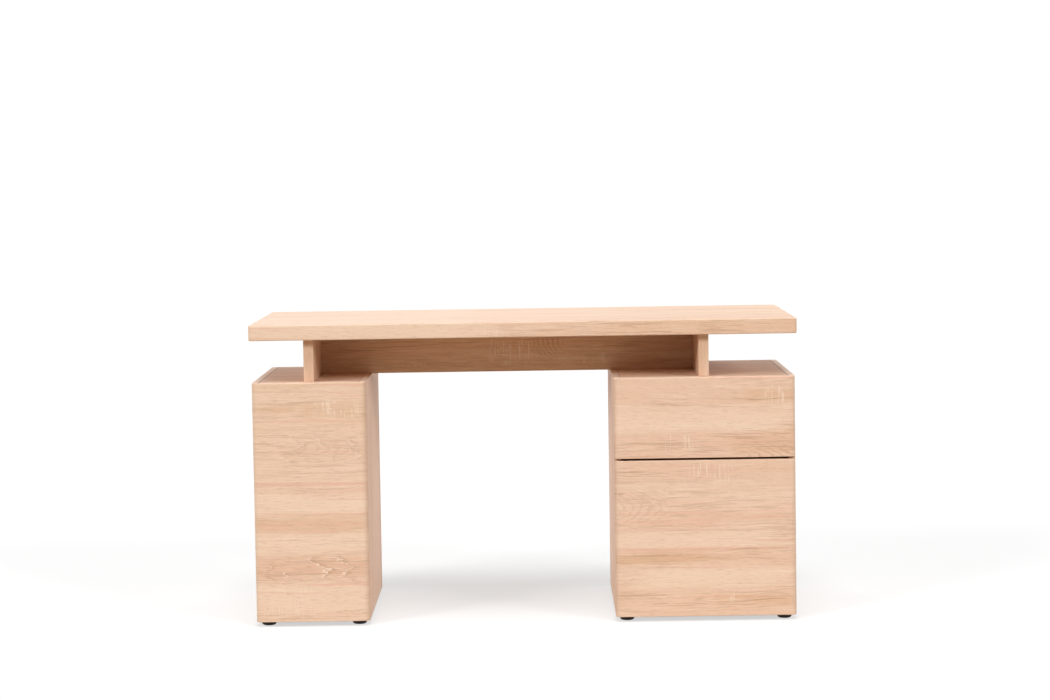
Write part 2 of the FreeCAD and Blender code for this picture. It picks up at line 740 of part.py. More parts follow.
def roller(radius, wall_x, into, y, z):
    wheel = rod(radius, V(wall_x + into.x * roller_gap, y, z), into, roller_width)
    wheel = wheel.makeFillet(roller_edge_radius, [edge for edge in wheel.Edges if len(edge.Vertexes) == 1])
    bore = rod(axle_radius + hinge_pin_gap, V(wall_x, y, z), into, runner_clearance)
    return wheel.cut(bore)


def axle(start_x, into, y, z, length):
    pin = rod(axle_radius, V(start_x, y, z), into, length)
    head_start = V(start_x, y, z) + into * (length - axle_head_thickness)
    head = rod(axle_head_radius, head_start, into, axle_head_thickness)
    return pin.fuse(head).removeSplitter()


def cabinet_runner(name, side, wall_x, into):
    half = runner_height / 2
    inner = half - runner_steel
    profile = [(0, -half), (runner_flange, -half), (runner_flange, -inner), (runner_steel, -inner),
               (runner_steel, inner), (runner_flange, inner), (runner_flange, half), (0, half)]
    start = carcass_y + runner_setback
    y_span = (start, start + drawer_depth)
    channel = runner_prism(profile, wall_x, into, y_span)
    y = start + runner_end_inset
    z = runner_middle_z + drawer_flange_under - roller_play - front_roller_radius
    collect("cabinet_rollers", roller(front_roller_radius, wall_x, into, y, z))
    collect("cabinet_roller_axles", axle(wall_x, into, y, z, runner_flange))
    holes = [rod(axle_radius, V(wall_x, y, z), into, runner_steel)]
    for screw_y in (start + runner_screw_inset, (y_span[0] + y_span[1]) / 2, y_span[1] - runner_screw_inset):
        face = V(wall_x + into.x * runner_steel, screw_y, runner_middle_z)
        holes.append(drive_pan_screw("fitting_screws", (side,), face, into * -1,
                                     runner_screw_head_length, screw_length))
    groups[name] = [channel.cut(holes)]


def drawer_runner(name, side, wall_x, into):
    half = runner_height / 2
    web = runner_clearance - runner_steel
    profile = [(web, -half), (drawer_inner_x, -half), (drawer_inner_x, runner_steel - half),
               (runner_clearance, runner_steel - half), (runner_clearance, drawer_flange_top),
               (runner_tip_gap, drawer_flange_top), (runner_tip_gap, drawer_flange_under),
               (web, drawer_flange_under)]
    rail = runner_prism(profile, wall_x, into, (front_rear_y, drawer_end_y))
    y = drawer_end_y - runner_end_inset
    z = runner_middle_z - half + runner_steel + roller_play + rear_roller_radius
    collect("drawer_rollers", roller(rear_roller_radius, wall_x, into, y, z))
    axle_start = wall_x + into.x * runner_clearance
    axle_length = runner_clearance - roller_gap + axle_head_thickness
    collect("drawer_roller_axles", axle(axle_start, into * -1, y, z, axle_length))
    gap_x = tuple(sorted((wall_x, wall_x + into.x * web)))
    gap_z = (runner_middle_z + drawer_flange_under - runner_steel, runner_middle_z + half)
    wheel_room = box(gap_x, (y - rear_roller_radius - overrun, drawer_end_y + overrun), gap_z)
    holes = [wheel_room, rod(axle_radius, V(axle_start, y, z), into * -1, runner_steel)]
    middle_x = axle_start + into.x * drawer_board_thickness / 2
    reach = runner_steel + drawer_bottom_height - overrun
    for screw_y in (front_rear_y + drawer_runner_screw_inset, drawer_end_y - drawer_runner_screw_inset):
        face = V(middle_x, screw_y, runner_middle_z - half)
        holes.append(drive_pan_screw("drawer_screws", (side,), face, axis_z,
                                     runner_screw_head_length, reach))
    groups[name] = [rail.cut(holes)]


def runners():
    left_wall, right_wall = right.span(board_thickness, right.width - board_thickness)
    cabinet_runner("left_cabinet_runner", "right_inner_side", left_wall, axis_x)
    cabinet_runner("right_cabinet_runner", "right_outer_side", right_wall, axis_x * -1)
    drawer_runner("left_drawer_runner", "drawer_left_side", left_wall, axis_x)
    drawer_runner("right_drawer_runner", "drawer_right_side", right_wall, axis_x * -1)


def drawer():
    front_board(right, "drawer_front", (divider_centre + front_joint / 2, cabinet_top_z - front_reveal))
    drawer_boards()
    runners()
    push_latch("drawer", "right_divider", right.x(right.width / 2), drawer_end_y + plunger_touch,
               divider_top_z, -1, drawer_latch_axis_drop)


# Assembly

def cabinet_shell(cabinet):
    side_boards(cabinet)
    level_board(cabinet, "_top", top_board_z, rear_y)
    level_board(cabinet, "_bottom", foot_height, rear_y)
    back_panel(cabinet)
    feet(cabinet)
    upright(cabinet)


def build():
    desktop()
    cabinet_shell(left)
    cabinet_shell(right)
    cross_panel()
    level_board(right, "_divider", divider_low_z, back_front_y - fit_gap)
    shelves(left, ("_lower_shelf", "_upper_shelf"), top_board_z)
    shelves(right, ("_shelf",), divider_low_z)
    low_z = foot_height + front_reveal
    door(left, (low_z, cabinet_top_z - front_reveal))
    door(right, (low_z, divider_centre - front_joint / 2))
    door_latch(left, "left_top", top_board_z)
    door_latch(right, "right_divider", divider_low_z)
    drawer()


def export():
    os.makedirs("parts", exist_ok=True)
    for name, blank in boards.items():
        shape = blank.cut(cuts[name]) if name in cuts else blank
        groups[name] = shape.Solids
    for name, solids in groups.items():
        shape = solids[0] if len(solids) == 1 else Part.makeCompound(solids)
        shape.exportStep("parts/" + name + ".step")


build()
export()
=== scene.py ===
import json
import math

import bmesh
import bpy
from mathutils import Matrix, Vector


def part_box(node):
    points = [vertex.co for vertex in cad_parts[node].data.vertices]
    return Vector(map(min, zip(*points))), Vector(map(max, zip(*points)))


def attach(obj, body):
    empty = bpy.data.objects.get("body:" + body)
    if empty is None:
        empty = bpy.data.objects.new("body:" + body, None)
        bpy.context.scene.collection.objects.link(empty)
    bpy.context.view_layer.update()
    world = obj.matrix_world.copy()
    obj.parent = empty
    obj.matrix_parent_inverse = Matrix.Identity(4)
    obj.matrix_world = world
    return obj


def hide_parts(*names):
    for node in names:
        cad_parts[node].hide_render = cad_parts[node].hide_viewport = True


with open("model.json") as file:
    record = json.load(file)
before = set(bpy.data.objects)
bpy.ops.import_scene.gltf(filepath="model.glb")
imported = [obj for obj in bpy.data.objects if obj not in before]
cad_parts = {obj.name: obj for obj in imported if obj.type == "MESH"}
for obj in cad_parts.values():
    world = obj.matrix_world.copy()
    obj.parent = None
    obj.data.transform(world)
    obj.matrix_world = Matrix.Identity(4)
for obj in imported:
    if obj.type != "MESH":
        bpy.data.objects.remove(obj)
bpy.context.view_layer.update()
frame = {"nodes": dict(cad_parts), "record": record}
cadNodes = frame["nodes"]
scene = bpy.context.scene
scene.view_settings.view_transform = "Standard"


# Camera at the photo's viewing angle
photoView = {
    "place": (0.0397, -6.7239, 1.1418),
    "turnRight": -0.300,      # degrees, from looking along +Y
    "tiltUp": -4.107,
    "rollLeft": -0.879,
    "lens": 89.82,            # mm
    "sensorWidth": 36.0,      # mm
    "reach": 200.0,           # metres that it sees
}


def setCamera(view):
    data = bpy.data.cameras.new("photoCamera")
    data.lens = view["lens"]
    data.sensor_width = view["sensorWidth"]
    data.clip_end = view["reach"]
    camera = bpy.data.objects.new("photoCamera", data)
    scene.collection.objects.link(camera)
    turn = Matrix.Rotation(-math.radians(view["turnRight"]), 4, "Z")
    tilt = Matrix.Rotation(math.radians(90 + view["tiltUp"]), 4, "X")
    roll = Matrix.Rotation(math.radians(view["rollLeft"]), 4, "Z")
    camera.matrix_world = Matrix.Translation(view["place"]) @ turn @ tilt @ roll
    scene.camera = camera


# Node helpers, used by every material and by the screws
def plug(tree, value, socket):
    if isinstance(value, bpy.types.NodeSocket):
        tree.links.new(value, socket)
    else:
        socket.default_value = value


def makeNode(tree, kind, inputs=None, **settings):
    made = tree.nodes.new(kind)
    for name, value in settings.items():
        setattr(made, name, value)
    for name, value in (inputs or {}).items():
        plug(tree, value, made.inputs[name])
    return made


def addNode(tree, kind, inputs=None, **settings):
    return makeNode(tree, "ShaderNode" + kind, inputs, **settings)


def calc(tree, operation, *values):
    return addNode(tree, "Math", dict(enumerate(values)), operation=operation).outputs[0]


def chain(tree, operation, first, *others):
    for other in others:
        first = calc(tree, operation, first, other)
    return first


def times(tree, *values):
    return chain(tree, "MULTIPLY", *values)


def plus(tree, *values):
    return chain(tree, "ADD", *values)


def most(tree, *values):
    return chain(tree, "MAXIMUM", *values)


def lengthOf(tree, x, y):
    return calc(tree, "SQRT", plus(tree, calc(tree, "POWER", x, 2.0), calc(tree, "POWER", y, 2.0)))


def smoothStep(tree, value, low, high, top=1.0):
    made = addNode(tree, "MapRange", {"Value": value, "From Min": low, "From Max": high, "To Max": top},
                   interpolation_type="SMOOTHSTEP")
    return made.outputs["Result"]


def mixColour(tree, factor, first, second):
    return addNode(tree, "Mix", {0: factor, 6: first, 7: second}, data_type="RGBA").outputs[2]


def mixValue(tree, factor, first, second):
    return addNode(tree, "Mix", {0: factor, 2: first, 3: second}).outputs[0]


def joinPlace(tree, x, y, z):
    return addNode(tree, "CombineXYZ", {"X": x, "Y": y, "Z": z}).outputs[0]


def splitPlace(tree, vector):
    return addNode(tree, "SeparateXYZ", {0: vector}).outputs


def pickAxes(tree, vector, order):
    parts = splitPlace(tree, vector)
    return joinPlace(tree, *[parts[axis] for axis in order])


def noiseAt(tree, vector, scale, detail, rough, output="Fac"):
    made = addNode(tree, "TexNoise", {"Vector": vector, "Scale": scale, "Detail": detail, "Roughness": rough})
    return made.outputs[output]


def newGroup(name, inputs, outputs):
    tree = bpy.data.node_groups.new(name, "ShaderNodeTree")
    for way, sockets in (("INPUT", inputs), ("OUTPUT", outputs)):
        for label, kind in sockets.items():
            tree.interface.new_socket(label, in_out=way, socket_type="NodeSocket" + kind)
    return tree, tree.nodes.new("NodeGroupInput").outputs, tree.nodes.new("NodeGroupOutput").inputs


def placeGroup(tree, group, inputs):
    return addNode(tree, "Group", inputs, node_tree=group).outputs


def newMaterial(name):
    material = bpy.data.materials.new(name)
    material.use_nodes = True
    tree = material.node_tree
    return material, tree, tree.nodes["Principled BSDF"]


def roughen(tree, shader, height, strength, distance):
    bump = addNode(tree, "Bump", {"Height": height, "Strength": strength, "Distance": distance})
    plug(tree, bump.outputs["Normal"], shader.inputs["Normal"])


# Studio: soft lamps low on both sides, one high in front, two behind, a pale floor, a white surround
studio = {
    "white": (1, 1, 1, 1),
    "floorSize": 120.0,
    "floorDrop": 0.0003,        # under the feet
    "floorColour": (0.47, 0.385, 0.285, 1),    # what it throws back on the desk
    "floorSeen": (0.98, 0.98, 0.98, 1),
    "floorWhite": 0.60,         # share of plain white that the eye sees in the floor
    "fillLevel": 0.02,          # what the surround gives to matt surfaces
    "softboxes": [
        # name, degrees to the right of the camera, degrees up, level, width in degrees
        ("leftSoftbox", -45, 25, 0.465, 18),
        ("rightSoftbox", 45, 25, 0.395, 18),
        ("topSoftbox", 0, 74, 0.62, 30),
        ("rearLeftSoftbox", -125, 20, 0.20, 30),
        ("rearRightSoftbox", 125, 20, 0.20, 30),
    ],
}


def seenRays(tree):
    rays = addNode(tree, "LightPath").outputs
    return most(tree, rays["Is Camera Ray"], rays["Is Glossy Ray"], rays["Is Transmission Ray"])


def setLamps(look):
    for name, right, up, level, width in look["softboxes"]:
        data = bpy.data.lights.new(name, "SUN")
        data.energy = math.pi * level
        data.angle = math.radians(width)
        lamp = bpy.data.objects.new(name, data)
        scene.collection.objects.link(lamp)
        lamp.rotation_euler = (math.radians(90 - up), 0, math.radians(right))


def setSurround(look):
    world = bpy.data.worlds.new("whiteSurround")
    scene.world = world
    world.use_nodes = True
    tree = world.node_tree
    fill = tree.nodes["Background"]
    fill.inputs["Strength"].default_value = look["fillLevel"]
    fill.inputs["Color"].default_value = look["white"]
    seen = addNode(tree, "Background", {"Color": look["white"], "Strength": 1.0})
    mix = addNode(tree, "MixShader", {0: seenRays(tree), 1: fill.outputs[0], 2: seen.outputs[0]})
    plug(tree, mix.outputs[0], tree.nodes["World Output"].inputs["Surface"])


def setFloor(look):
    half = look["floorSize"] / 2
    mesh = bpy.data.meshes.new("paleFloor")
    corners = [(-half, -half), (half, -half), (half, half), (-half, half)]
    mesh.from_pydata([(x, y, -look["floorDrop"]) for x, y in corners], [], [(0, 1, 2, 3)])
    floor = bpy.data.objects.new("paleFloor", mesh)
    scene.collection.objects.link(floor)
    material, tree, shader = newMaterial("paleFloor")
    seen = seenRays(tree)
    plug(tree, mixColour(tree, seen, look["floorColour"], look["floorSeen"]), shader.inputs["Base Color"])
    shader.inputs["Roughness"].default_value = 1.0
    shader.inputs["Specular IOR Level"].default_value = 0.0
    glow = addNode(tree, "Emission", {"Color": look["white"], "Strength": 1.0})
    share = times(tree, seen, look["floorWhite"])
    mix = addNode(tree, "MixShader", {0: share, 1: shader.outputs[0], 2: glow.outputs[0]})
    plug(tree, mix.outputs[0], tree.nodes["Material Output"].inputs["Surface"])
    mesh.materials.append(material)


setCamera(photoView)
setLamps(studio)
setSurround(studio)
setFloor(studio)
print("camera and studio set")


# Sawn oak decor: tone bands, pink lines, fine brown lines, arched figure with pale flecks, saw marks
oakDecor = {
    "cream": (0.905, 0.710, 0.555, 1),
    "base": (0.828, 0.585, 0.438, 1),
    "tanAndShade": (0.700, 0.430, 0.255, 1),
    "pink": (0.800, 0.470, 0.350, 1),
    "brown": (0.440, 0.235, 0.135, 1),
    "pale": (0.935, 0.775, 0.640, 1),
    "wander": 0.026,          # metres that the grain strays, slowly and quickly
    "ripple": 0.007,
    "plankWidth": 0.148,
    "plankSeed": 0.37,
    "plankTone": 0.18,        # how much planks differ
    "ringSpacing": 0.0050,
    "ringJitter": 1.3,
    "ringSharp": 3.0,
    "slant": (0.07, 0.040),   # spread and least, of the rings against the face
    "runSpread": 1.7,         # metres by which planks are cut from other places along the log
    "heartReach": 0.9,        # metres along the log before the arches run back
    "heartStart": 0.3,
    "heartSpread": 0.08,      # metres that the arches stand off the plank's middle
    "tanStep": (0.46, 0.30, 0.55),     # tones where it starts and is full, and its strength there
    "calmStep": (0.50, 0.68, 0.7),
    "tanAndShadeSpot": 0.75,
    "pinkSpot": 0.75,
    "calmAndLitTone": 0.70,
    "calmHush": 0.6,          # lines lost in calm places
    "busyLines": (0.9, 0.1),  # lines added in busy places, and left elsewhere
    "ringDark": 0.42,
    "archDark": 0.55,
    "poreDark": 0.34,
    "sawPale": 0.72,
    "fleckSway": 2.4,
    "fleckLean": 9.0,         # turns per metre across and along the grain
    "fleckCount": 15.0,
    "fleckSides": [
        # colour, strength, and where in each turn the side comes and goes
        ("brown", 0.42, (0.07, 0.11), (0.45, 0.09)),
        ("pale", 0.85, (0.095, 0.055), (0.0, 0.02)),
    ],
    "rough": (0.10, 0.42),    # spread with the tone bands, and least
    "poreRough": 0.12,
    "poreHeight": -0.4,
    "lineHeight": -0.8,
    "sawHeight": 0.35,
    "bump": (0.25, 0.0003),   # strength, metres
    "specular": 0.15,
}
grainLayers = {
    # name: noises per metre along and across the grain, slice, detail, roughness
    "wander": (1.7, 6.0, 1.3, 2.0, 0.5),
    "ripple": (11.0, 40.0, 2.7, 2.0, 0.5),
    "ringJitter": (30.0, 110.0, 4.1, 2.0, 0.5),
    "figure": (2.4, 15.0, 5.9, 2.0, 0.5),
    "brokenRing": (16.0, 130.0, 6.3, 2.0, 0.5),
    "toneBand": (0.9, 24.0, 7.7, 3.0, 0.6),
    "blush": (1.1, 20.0, 8.3, 2.0, 0.5),
    "pinkLine": (1.8, 105.0, 9.1, 2.0, 0.5),
    "dash": (11.0, 420.0, 10.7, 2.0, 0.6),
    "streak": (4.5, 150.0, 11.3, 2.0, 0.6),
    "busy": (2.2, 17.0, 12.1, 2.0, 0.5),
    "pore": (42.0, 1200.0, 13.7, 1.0, 0.5),
    "paleLine": (7.0, 210.0, 14.9, 2.0, 0.6),
    "sawCut": (190.0, 11.0, 15.1, 3.0, 0.7),
    "brokenCut": (48.0, 52.0, 15.7, 2.0, 0.5),
    "sawPatch": (6.0, 15.0, 16.9, 1.0, 0.5),
    "fleckSway": (9.0, 34.0, 18.1, 3.0, 0.65),
    "fleckBlotch": (17.0, 24.0, 19.3, 2.0, 0.5),
    "spotFray": (9.0, 60.0, 23.9, 2.0, 0.5),
    "archJitter": (26.0, 90.0, 27.3, 2.0, 0.5),
}
grainSteps = {
    # name: where a layer's mask starts and where it is full, and its strength there
    "figure": (0.47, 0.66, 0.7),
    "brokenRing": (0.36, 0.56, 1.0),
    "blush": (0.50, 0.72, 0.18),
    "pinkLine": (0.60, 0.70, 0.5),
    "dash": (0.570, 0.605, 0.42),
    "streak": (0.595, 0.635, 0.44),
    "busy": (0.42, 0.64, 1.0),
    "pore": (0.60, 0.67, 1.0),
    "paleLine": (0.56, 0.70, 0.32),
    "sawCut": (0.53, 0.59, 1.0),
    "brokenCut": (0.38, 0.52, 1.0),
    "sawPatch": (0.61, 0.72, 1.0),
    "fleckBlotch": (0.38, 0.54, 1.0),
}


def grainNoise(tree, along, across, layer):
    # noise drawn out along the grain, each layer cut from its own slice
    perAlong, perAcross, cut, detail, rough = grainLayers[layer]
    place = joinPlace(tree, times(tree, along, perAlong), times(tree, across, perAcross), cut)
    return noiseAt(tree, place, 1.0, detail, rough)


def grainMask(tree, along, across, layer):
    return smoothStep(tree, grainNoise(tree, along, across, layer), *grainSteps[layer])


def stray(tree, value, reach):
    # from half the reach below zero to half above it
    return calc(tree, "MULTIPLY_ADD", value, reach, -reach / 2)


def ridge(tree, phase, sharp):
    # a line at the middle of each turn
    return calc(tree, "POWER", times(tree, calc(tree, "PINGPONG", phase, 0.5), 2.0), sharp)


def plankRings(tree, look, along, across, grain):
    # each plank has its own draw of numbers, and cuts the growth rings at a slant, which gives the arches
    rows = calc(tree, "DIVIDE", grain, look["plankWidth"])
    seed = plus(tree, calc(tree, "FLOOR", rows), look["plankSeed"])
    draw = addNode(tree, "TexWhiteNoise", {"W": seed}, noise_dimensions="1D").outputs
    drawn = addNode(tree, "SeparateColor", {"Color": draw["Color"]}).outputs
    inPlank = times(tree, calc(tree, "SUBTRACT", calc(tree, "FRACT", rows), 0.5), look["plankWidth"])
    slant = calc(tree, "MULTIPLY_ADD", drawn[1], *look["slant"])
    run = plus(tree, along, times(tree, drawn[2], look["runSpread"]))
    crest = calc(tree, "SUBTRACT", calc(tree, "PINGPONG", run, look["heartReach"]), look["heartStart"])
    side = calc(tree, "SUBTRACT", inPlank, stray(tree, drawn[0], look["heartSpread"]))
    radius = lengthOf(tree, side, times(tree, crest, slant))
    jitter = times(tree, grainNoise(tree, along, across, "ringJitter"), look["ringJitter"])
    phase = plus(tree, calc(tree, "DIVIDE", radius, look["ringSpacing"]), jitter)
    return ridge(tree, phase, look["ringSharp"]), draw["Value"]


def paleFlecks(tree, look, along, across, figureSpot, colour):
    # jagged pale flecks across the arches, each with a brown side
    sway = times(tree, grainNoise(tree, along, across, "fleckSway"), look["fleckSway"])
    lean = calc(tree, "MULTIPLY_ADD", across, look["fleckLean"], sway)
    teeth = calc(tree, "FRACT", calc(tree, "MULTIPLY_ADD", along, look["fleckCount"], lean))
    blotch = times(tree, grainMask(tree, along, across, "fleckBlotch"), figureSpot)
    for tint, strength, comes, goes in look["fleckSides"]:
        side = times(tree, smoothStep(tree, teeth, *comes), smoothStep(tree, teeth, *goes))
        colour = mixColour(tree, times(tree, side, blotch, strength), colour, look[tint])
    return colour


def sawnOakGroup(look):
    inputs = ("Along", "Across", "Figure", "Saw Marks", "Tan And Shade Spot", "Calm And Lit Spot", "Pink Spot", "Line Spot",
              "Figure Spot", "Saw Spot", "Arch Spot")
    outputs = {"Color": "Color", "Roughness": "Float", "Height": "Float"}
    tree, given, result = newGroup("sawnOak", dict.fromkeys(inputs, "Float"), outputs)
    along = given["Along"]
    across = given["Across"]

    # the grain wanders
    wander = stray(tree, grainNoise(tree, along, across, "wander"), look["wander"])
    ripple = stray(tree, grainNoise(tree, along, across, "ripple"), look["ripple"])
    grain = plus(tree, across, wander, ripple)

    # arches, where the figure is clear
    ring, plankTone = plankRings(tree, look, along, across, grain)
    clear = times(tree, grainMask(tree, along, across, "figure"), given["Figure"])
    clear = most(tree, clear, given["Figure Spot"])
    ring = times(tree, ring, clear, grainMask(tree, along, grain, "brokenRing"))

    # tone bands along the planks
    band = grainNoise(tree, along, grain, "toneBand")
    tone = plus(tree, band, -look["plankTone"] / 2)
    tone = calc(tree, "MULTIPLY_ADD", plankTone, look["plankTone"], tone)
    tanAndShade = smoothStep(tree, tone, *look["tanStep"])
    # placed tan spots add tan patches, and on the cross panel and uprights painted shade
    tanAndShade = most(tree, tanAndShade, times(tree, given["Tan And Shade Spot"], look["tanAndShadeSpot"]))
    # placed calm spots add calm cream patches, and on the desktop's left painted light
    calmAndLit = most(tree, smoothStep(tree, tone, *look["calmStep"]), given["Calm And Lit Spot"])
    pink = most(tree, grainMask(tree, along, grain, "blush"), grainMask(tree, along, grain, "pinkLine"),
                times(tree, given["Pink Spot"], look["pinkSpot"]))
    colour = mixColour(tree, tanAndShade, look["base"], look["tanAndShade"])
    colour = mixColour(tree, times(tree, calmAndLit, look["calmAndLitTone"]), colour, look["cream"])
    colour = mixColour(tree, pink, colour, look["pink"])

    # fine broken lines, brown and pale, and pores
    hush = calc(tree, "SUBTRACT", 1.0, times(tree, calmAndLit, look["calmHush"]))
    busy = times(tree, most(tree, grainMask(tree, along, grain, "busy"), given["Line Spot"]), hush)
    lines = most(tree, grainMask(tree, along, grain, "dash"), grainMask(tree, along, grain, "streak"))
    lines = times(tree, lines, calc(tree, "MULTIPLY_ADD", busy, *look["busyLines"]))
    lines = most(tree, lines, times(tree, ring, look["ringDark"]),
                 times(tree, given["Arch Spot"], look["archDark"]))
    colour = mixColour(tree, lines, colour, look["brown"])
    colour = mixColour(tree, grainMask(tree, along, grain, "paleLine"), colour, look["pale"])
    pore = grainMask(tree, along, grain, "pore")
    colour = mixColour(tree, times(tree, pore, look["poreDark"]), colour, look["brown"])

    # marks of the saw across the grain, in patches
    cut = times(tree, grainMask(tree, along, across, "sawCut"), grainMask(tree, along, across, "brokenCut"))
    patch = times(tree, grainMask(tree, along, across, "sawPatch"), given["Saw Marks"])
    saw = times(tree, cut, most(tree, patch, given["Saw Spot"]))
    colour = mixColour(tree, times(tree, saw, look["sawPale"]), colour, look["pale"])
    colour = paleFlecks(tree, look, along, across, given["Figure Spot"], colour)

    plug(tree, colour, result["Color"])
    rough = calc(tree, "MULTIPLY_ADD", band, *look["rough"])
    plug(tree, calc(tree, "MULTIPLY_ADD", pore, look["poreRough"], rough), result["Roughness"])
    low = calc(tree, "MULTIPLY_ADD", pore, look["poreHeight"], times(tree, lines, look["lineHeight"]))
    plug(tree, calc(tree, "MULTIPLY_ADD", saw, look["sawHeight"], low), result["Height"])
    return tree


# Placed features of the decor: soft patches drawn out along the grain, some of which are painted light and
# shade, and nested arches
spotLook = {
    "fray": 0.9,
    "endFade": (1.15, 0.65),      # in shares of the half length and half width
    "sideFade": (1.25, 0.55),
    "archFade": (1.1, 0.5),
    "archCount": 4.0,             # arches in a half length
    "archBow": 1.3,
    "archJitter": 1.2,
    "archSharp": 4.0,
}
spotSizes = ("Middle Along", "Middle Across", "Half Length", "Half Width", "Strength")


def newSpotGroup(name):
    inputs = dict.fromkeys(("Along", "Across", *spotSizes), "Float")
    tree, given, result = newGroup(name, inputs, {"Mask": "Float"})
    offsets = [calc(tree, "SUBTRACT", given[way], given["Middle " + way]) for way in ("Along", "Across")]
    return tree, given, result["Mask"], offsets


def decorSpotGroup(look):
    tree, given, mask, offsets = newSpotGroup("decorSpot")
    frayed = stray(tree, grainNoise(tree, given["Along"], given["Across"], "spotFray"), look["fray"])
    fades = []
    for offset, half, fade in zip(offsets, ("Half Length", "Half Width"), ("endFade", "sideFade")):
        far = calc(tree, "DIVIDE", calc(tree, "ABSOLUTE", offset), given[half])
        fades.append(smoothStep(tree, plus(tree, far, frayed), *look[fade]))
    plug(tree, times(tree, *fades, given["Strength"]), mask)
    return tree


def archSpotGroup(look):
    # a negative strength opens the arches the other way
    tree, given, mask, offsets = newSpotGroup("archSpot")
    ahead = calc(tree, "DIVIDE", offsets[0], given["Half Length"])
    aside = calc(tree, "DIVIDE", offsets[1], given["Half Width"])
    opening = times(tree, ahead, calc(tree, "SIGN", given["Strength"]))
    bow = times(tree, calc(tree, "POWER", aside, 2.0), look["archBow"])
    jitter = times(tree, grainNoise(tree, given["Along"], given["Across"], "archJitter"), look["archJitter"])
    phase = calc(tree, "MULTIPLY_ADD", plus(tree, opening, bow), look["archCount"], jitter)
    fade = smoothStep(tree, lengthOf(tree, ahead, aside), *look["archFade"])
    strength = calc(tree, "ABSOLUTE", given["Strength"])
    plug(tree, times(tree, ridge(tree, phase, look["archSharp"]), fade, strength), mask)
    return tree


# Faces of a board: which way the decor runs on its faces, its long edges and its ends
faceLook = {
    "square": 0.70,           # a normal at least this much along an axis faces that way
    "endShift": (3.1, 2.3),   # metres along and across, to another part of the decor
    "edgeShift": 1.7,
    "arris": (0.99, 0.80),
}


def boardFacesGroup(look):
    inputs = {"Place": "Vector", "Facing": "Vector", "Wrapped Ends": "Float"}
    tree, given, result = newGroup("boardFaces", inputs, dict.fromkeys(("Along", "Across", "Edge"), "Float"))
    place = splitPlace(tree, given["Place"])
    sizes = [calc(tree, "ABSOLUTE", part) for part in splitPlace(tree, given["Facing"])]
    onEdge = calc(tree, "GREATER_THAN", sizes[1], look["square"])
    onEnd = times(tree, calc(tree, "GREATER_THAN", sizes[0], look["square"]),
                  calc(tree, "SUBTRACT", 1.0, given["Wrapped Ends"]))
    endAlong, endAcross = look["endShift"]
    along = mixValue(tree, onEnd, place[0], plus(tree, place[1], endAlong))
    across = mixValue(tree, onEdge, place[1], plus(tree, place[2], look["edgeShift"]))
    across = mixValue(tree, onEnd, across, plus(tree, place[2], endAcross))
    plug(tree, along, result["Along"])
    plug(tree, across, result["Across"])
    plug(tree, smoothStep(tree, most(tree, *sizes), *look["arris"]), result["Edge"])
    return tree


sawnOak = sawnOakGroup(oakDecor)
decorSpot = decorSpotGroup(spotLook)
archSpot = archSpotGroup(spotLook)
boardFaces = boardFacesGroup(faceLook)


# Boards: which object axes are length, width and thickness, where the decor is cut from, figure, saw marks
oakBoards = {
    "desktop": ("XYZ", (0.40, 0.11), 0.8, 0.3),
    "left_upright": ("ZYX", (2.10, 0.30), 0.3, 0.0),
    "right_upright": ("ZYX", (3.40, 0.90), 0.3, 0.0),
    "cross_panel": ("XZY", (5.20, 0.05), 0.8, 0.0),
    "left_outer_side": ("ZYX", (7.10, 0.20), 0.7, 0.4),
    "left_inner_side": ("ZYX", (8.30, 0.60), 0.4, 0.2),
    "right_inner_side": ("ZYX", (9.20, 1.10), 0.4, 0.2),
    "right_outer_side": ("ZYX", (10.4, 1.50), 0.7, 0.4),
    "left_top": ("XYZ", (11.3, 0.40), 0.5, 0.2),
    "left_bottom": ("XYZ", (12.1, 0.80), 0.5, 0.2),
    "left_upper_shelf": ("XYZ", (13.7, 0.10), 0.5, 0.2),
    "left_lower_shelf": ("XYZ", (14.2, 0.50), 0.5, 0.2),
    "right_top": ("XYZ", (15.9, 0.70), 0.5, 0.2),
    "right_divider": ("XYZ", (16.4, 0.20), 0.5, 0.2),
    "right_bottom": ("XYZ", (17.6, 0.60), 0.5, 0.2),
    "right_shelf": ("XYZ", (18.3, 0.30), 0.5, 0.2),
    "left_door": ("XZY", (20.1, 0.30), 0.4, 0.0),
    "right_door": ("XZY", (23.7, 0.80), 0.4, 0.0),
    "drawer_front": ("XZY", (26.4, 0.10), 0.4, 0.0),
    "drawer_left_side": ("YZX", (31.2, 0.40), 0.2, 0.0),
    "drawer_right_side": ("YZX", (33.5, 0.70), 0.2, 0.0),
    "drawer_back": ("XZY", (35.1, 0.20), 0.2, 0.0),
}
wrappedFronts = ("left_door", "right_door", "drawer_front")

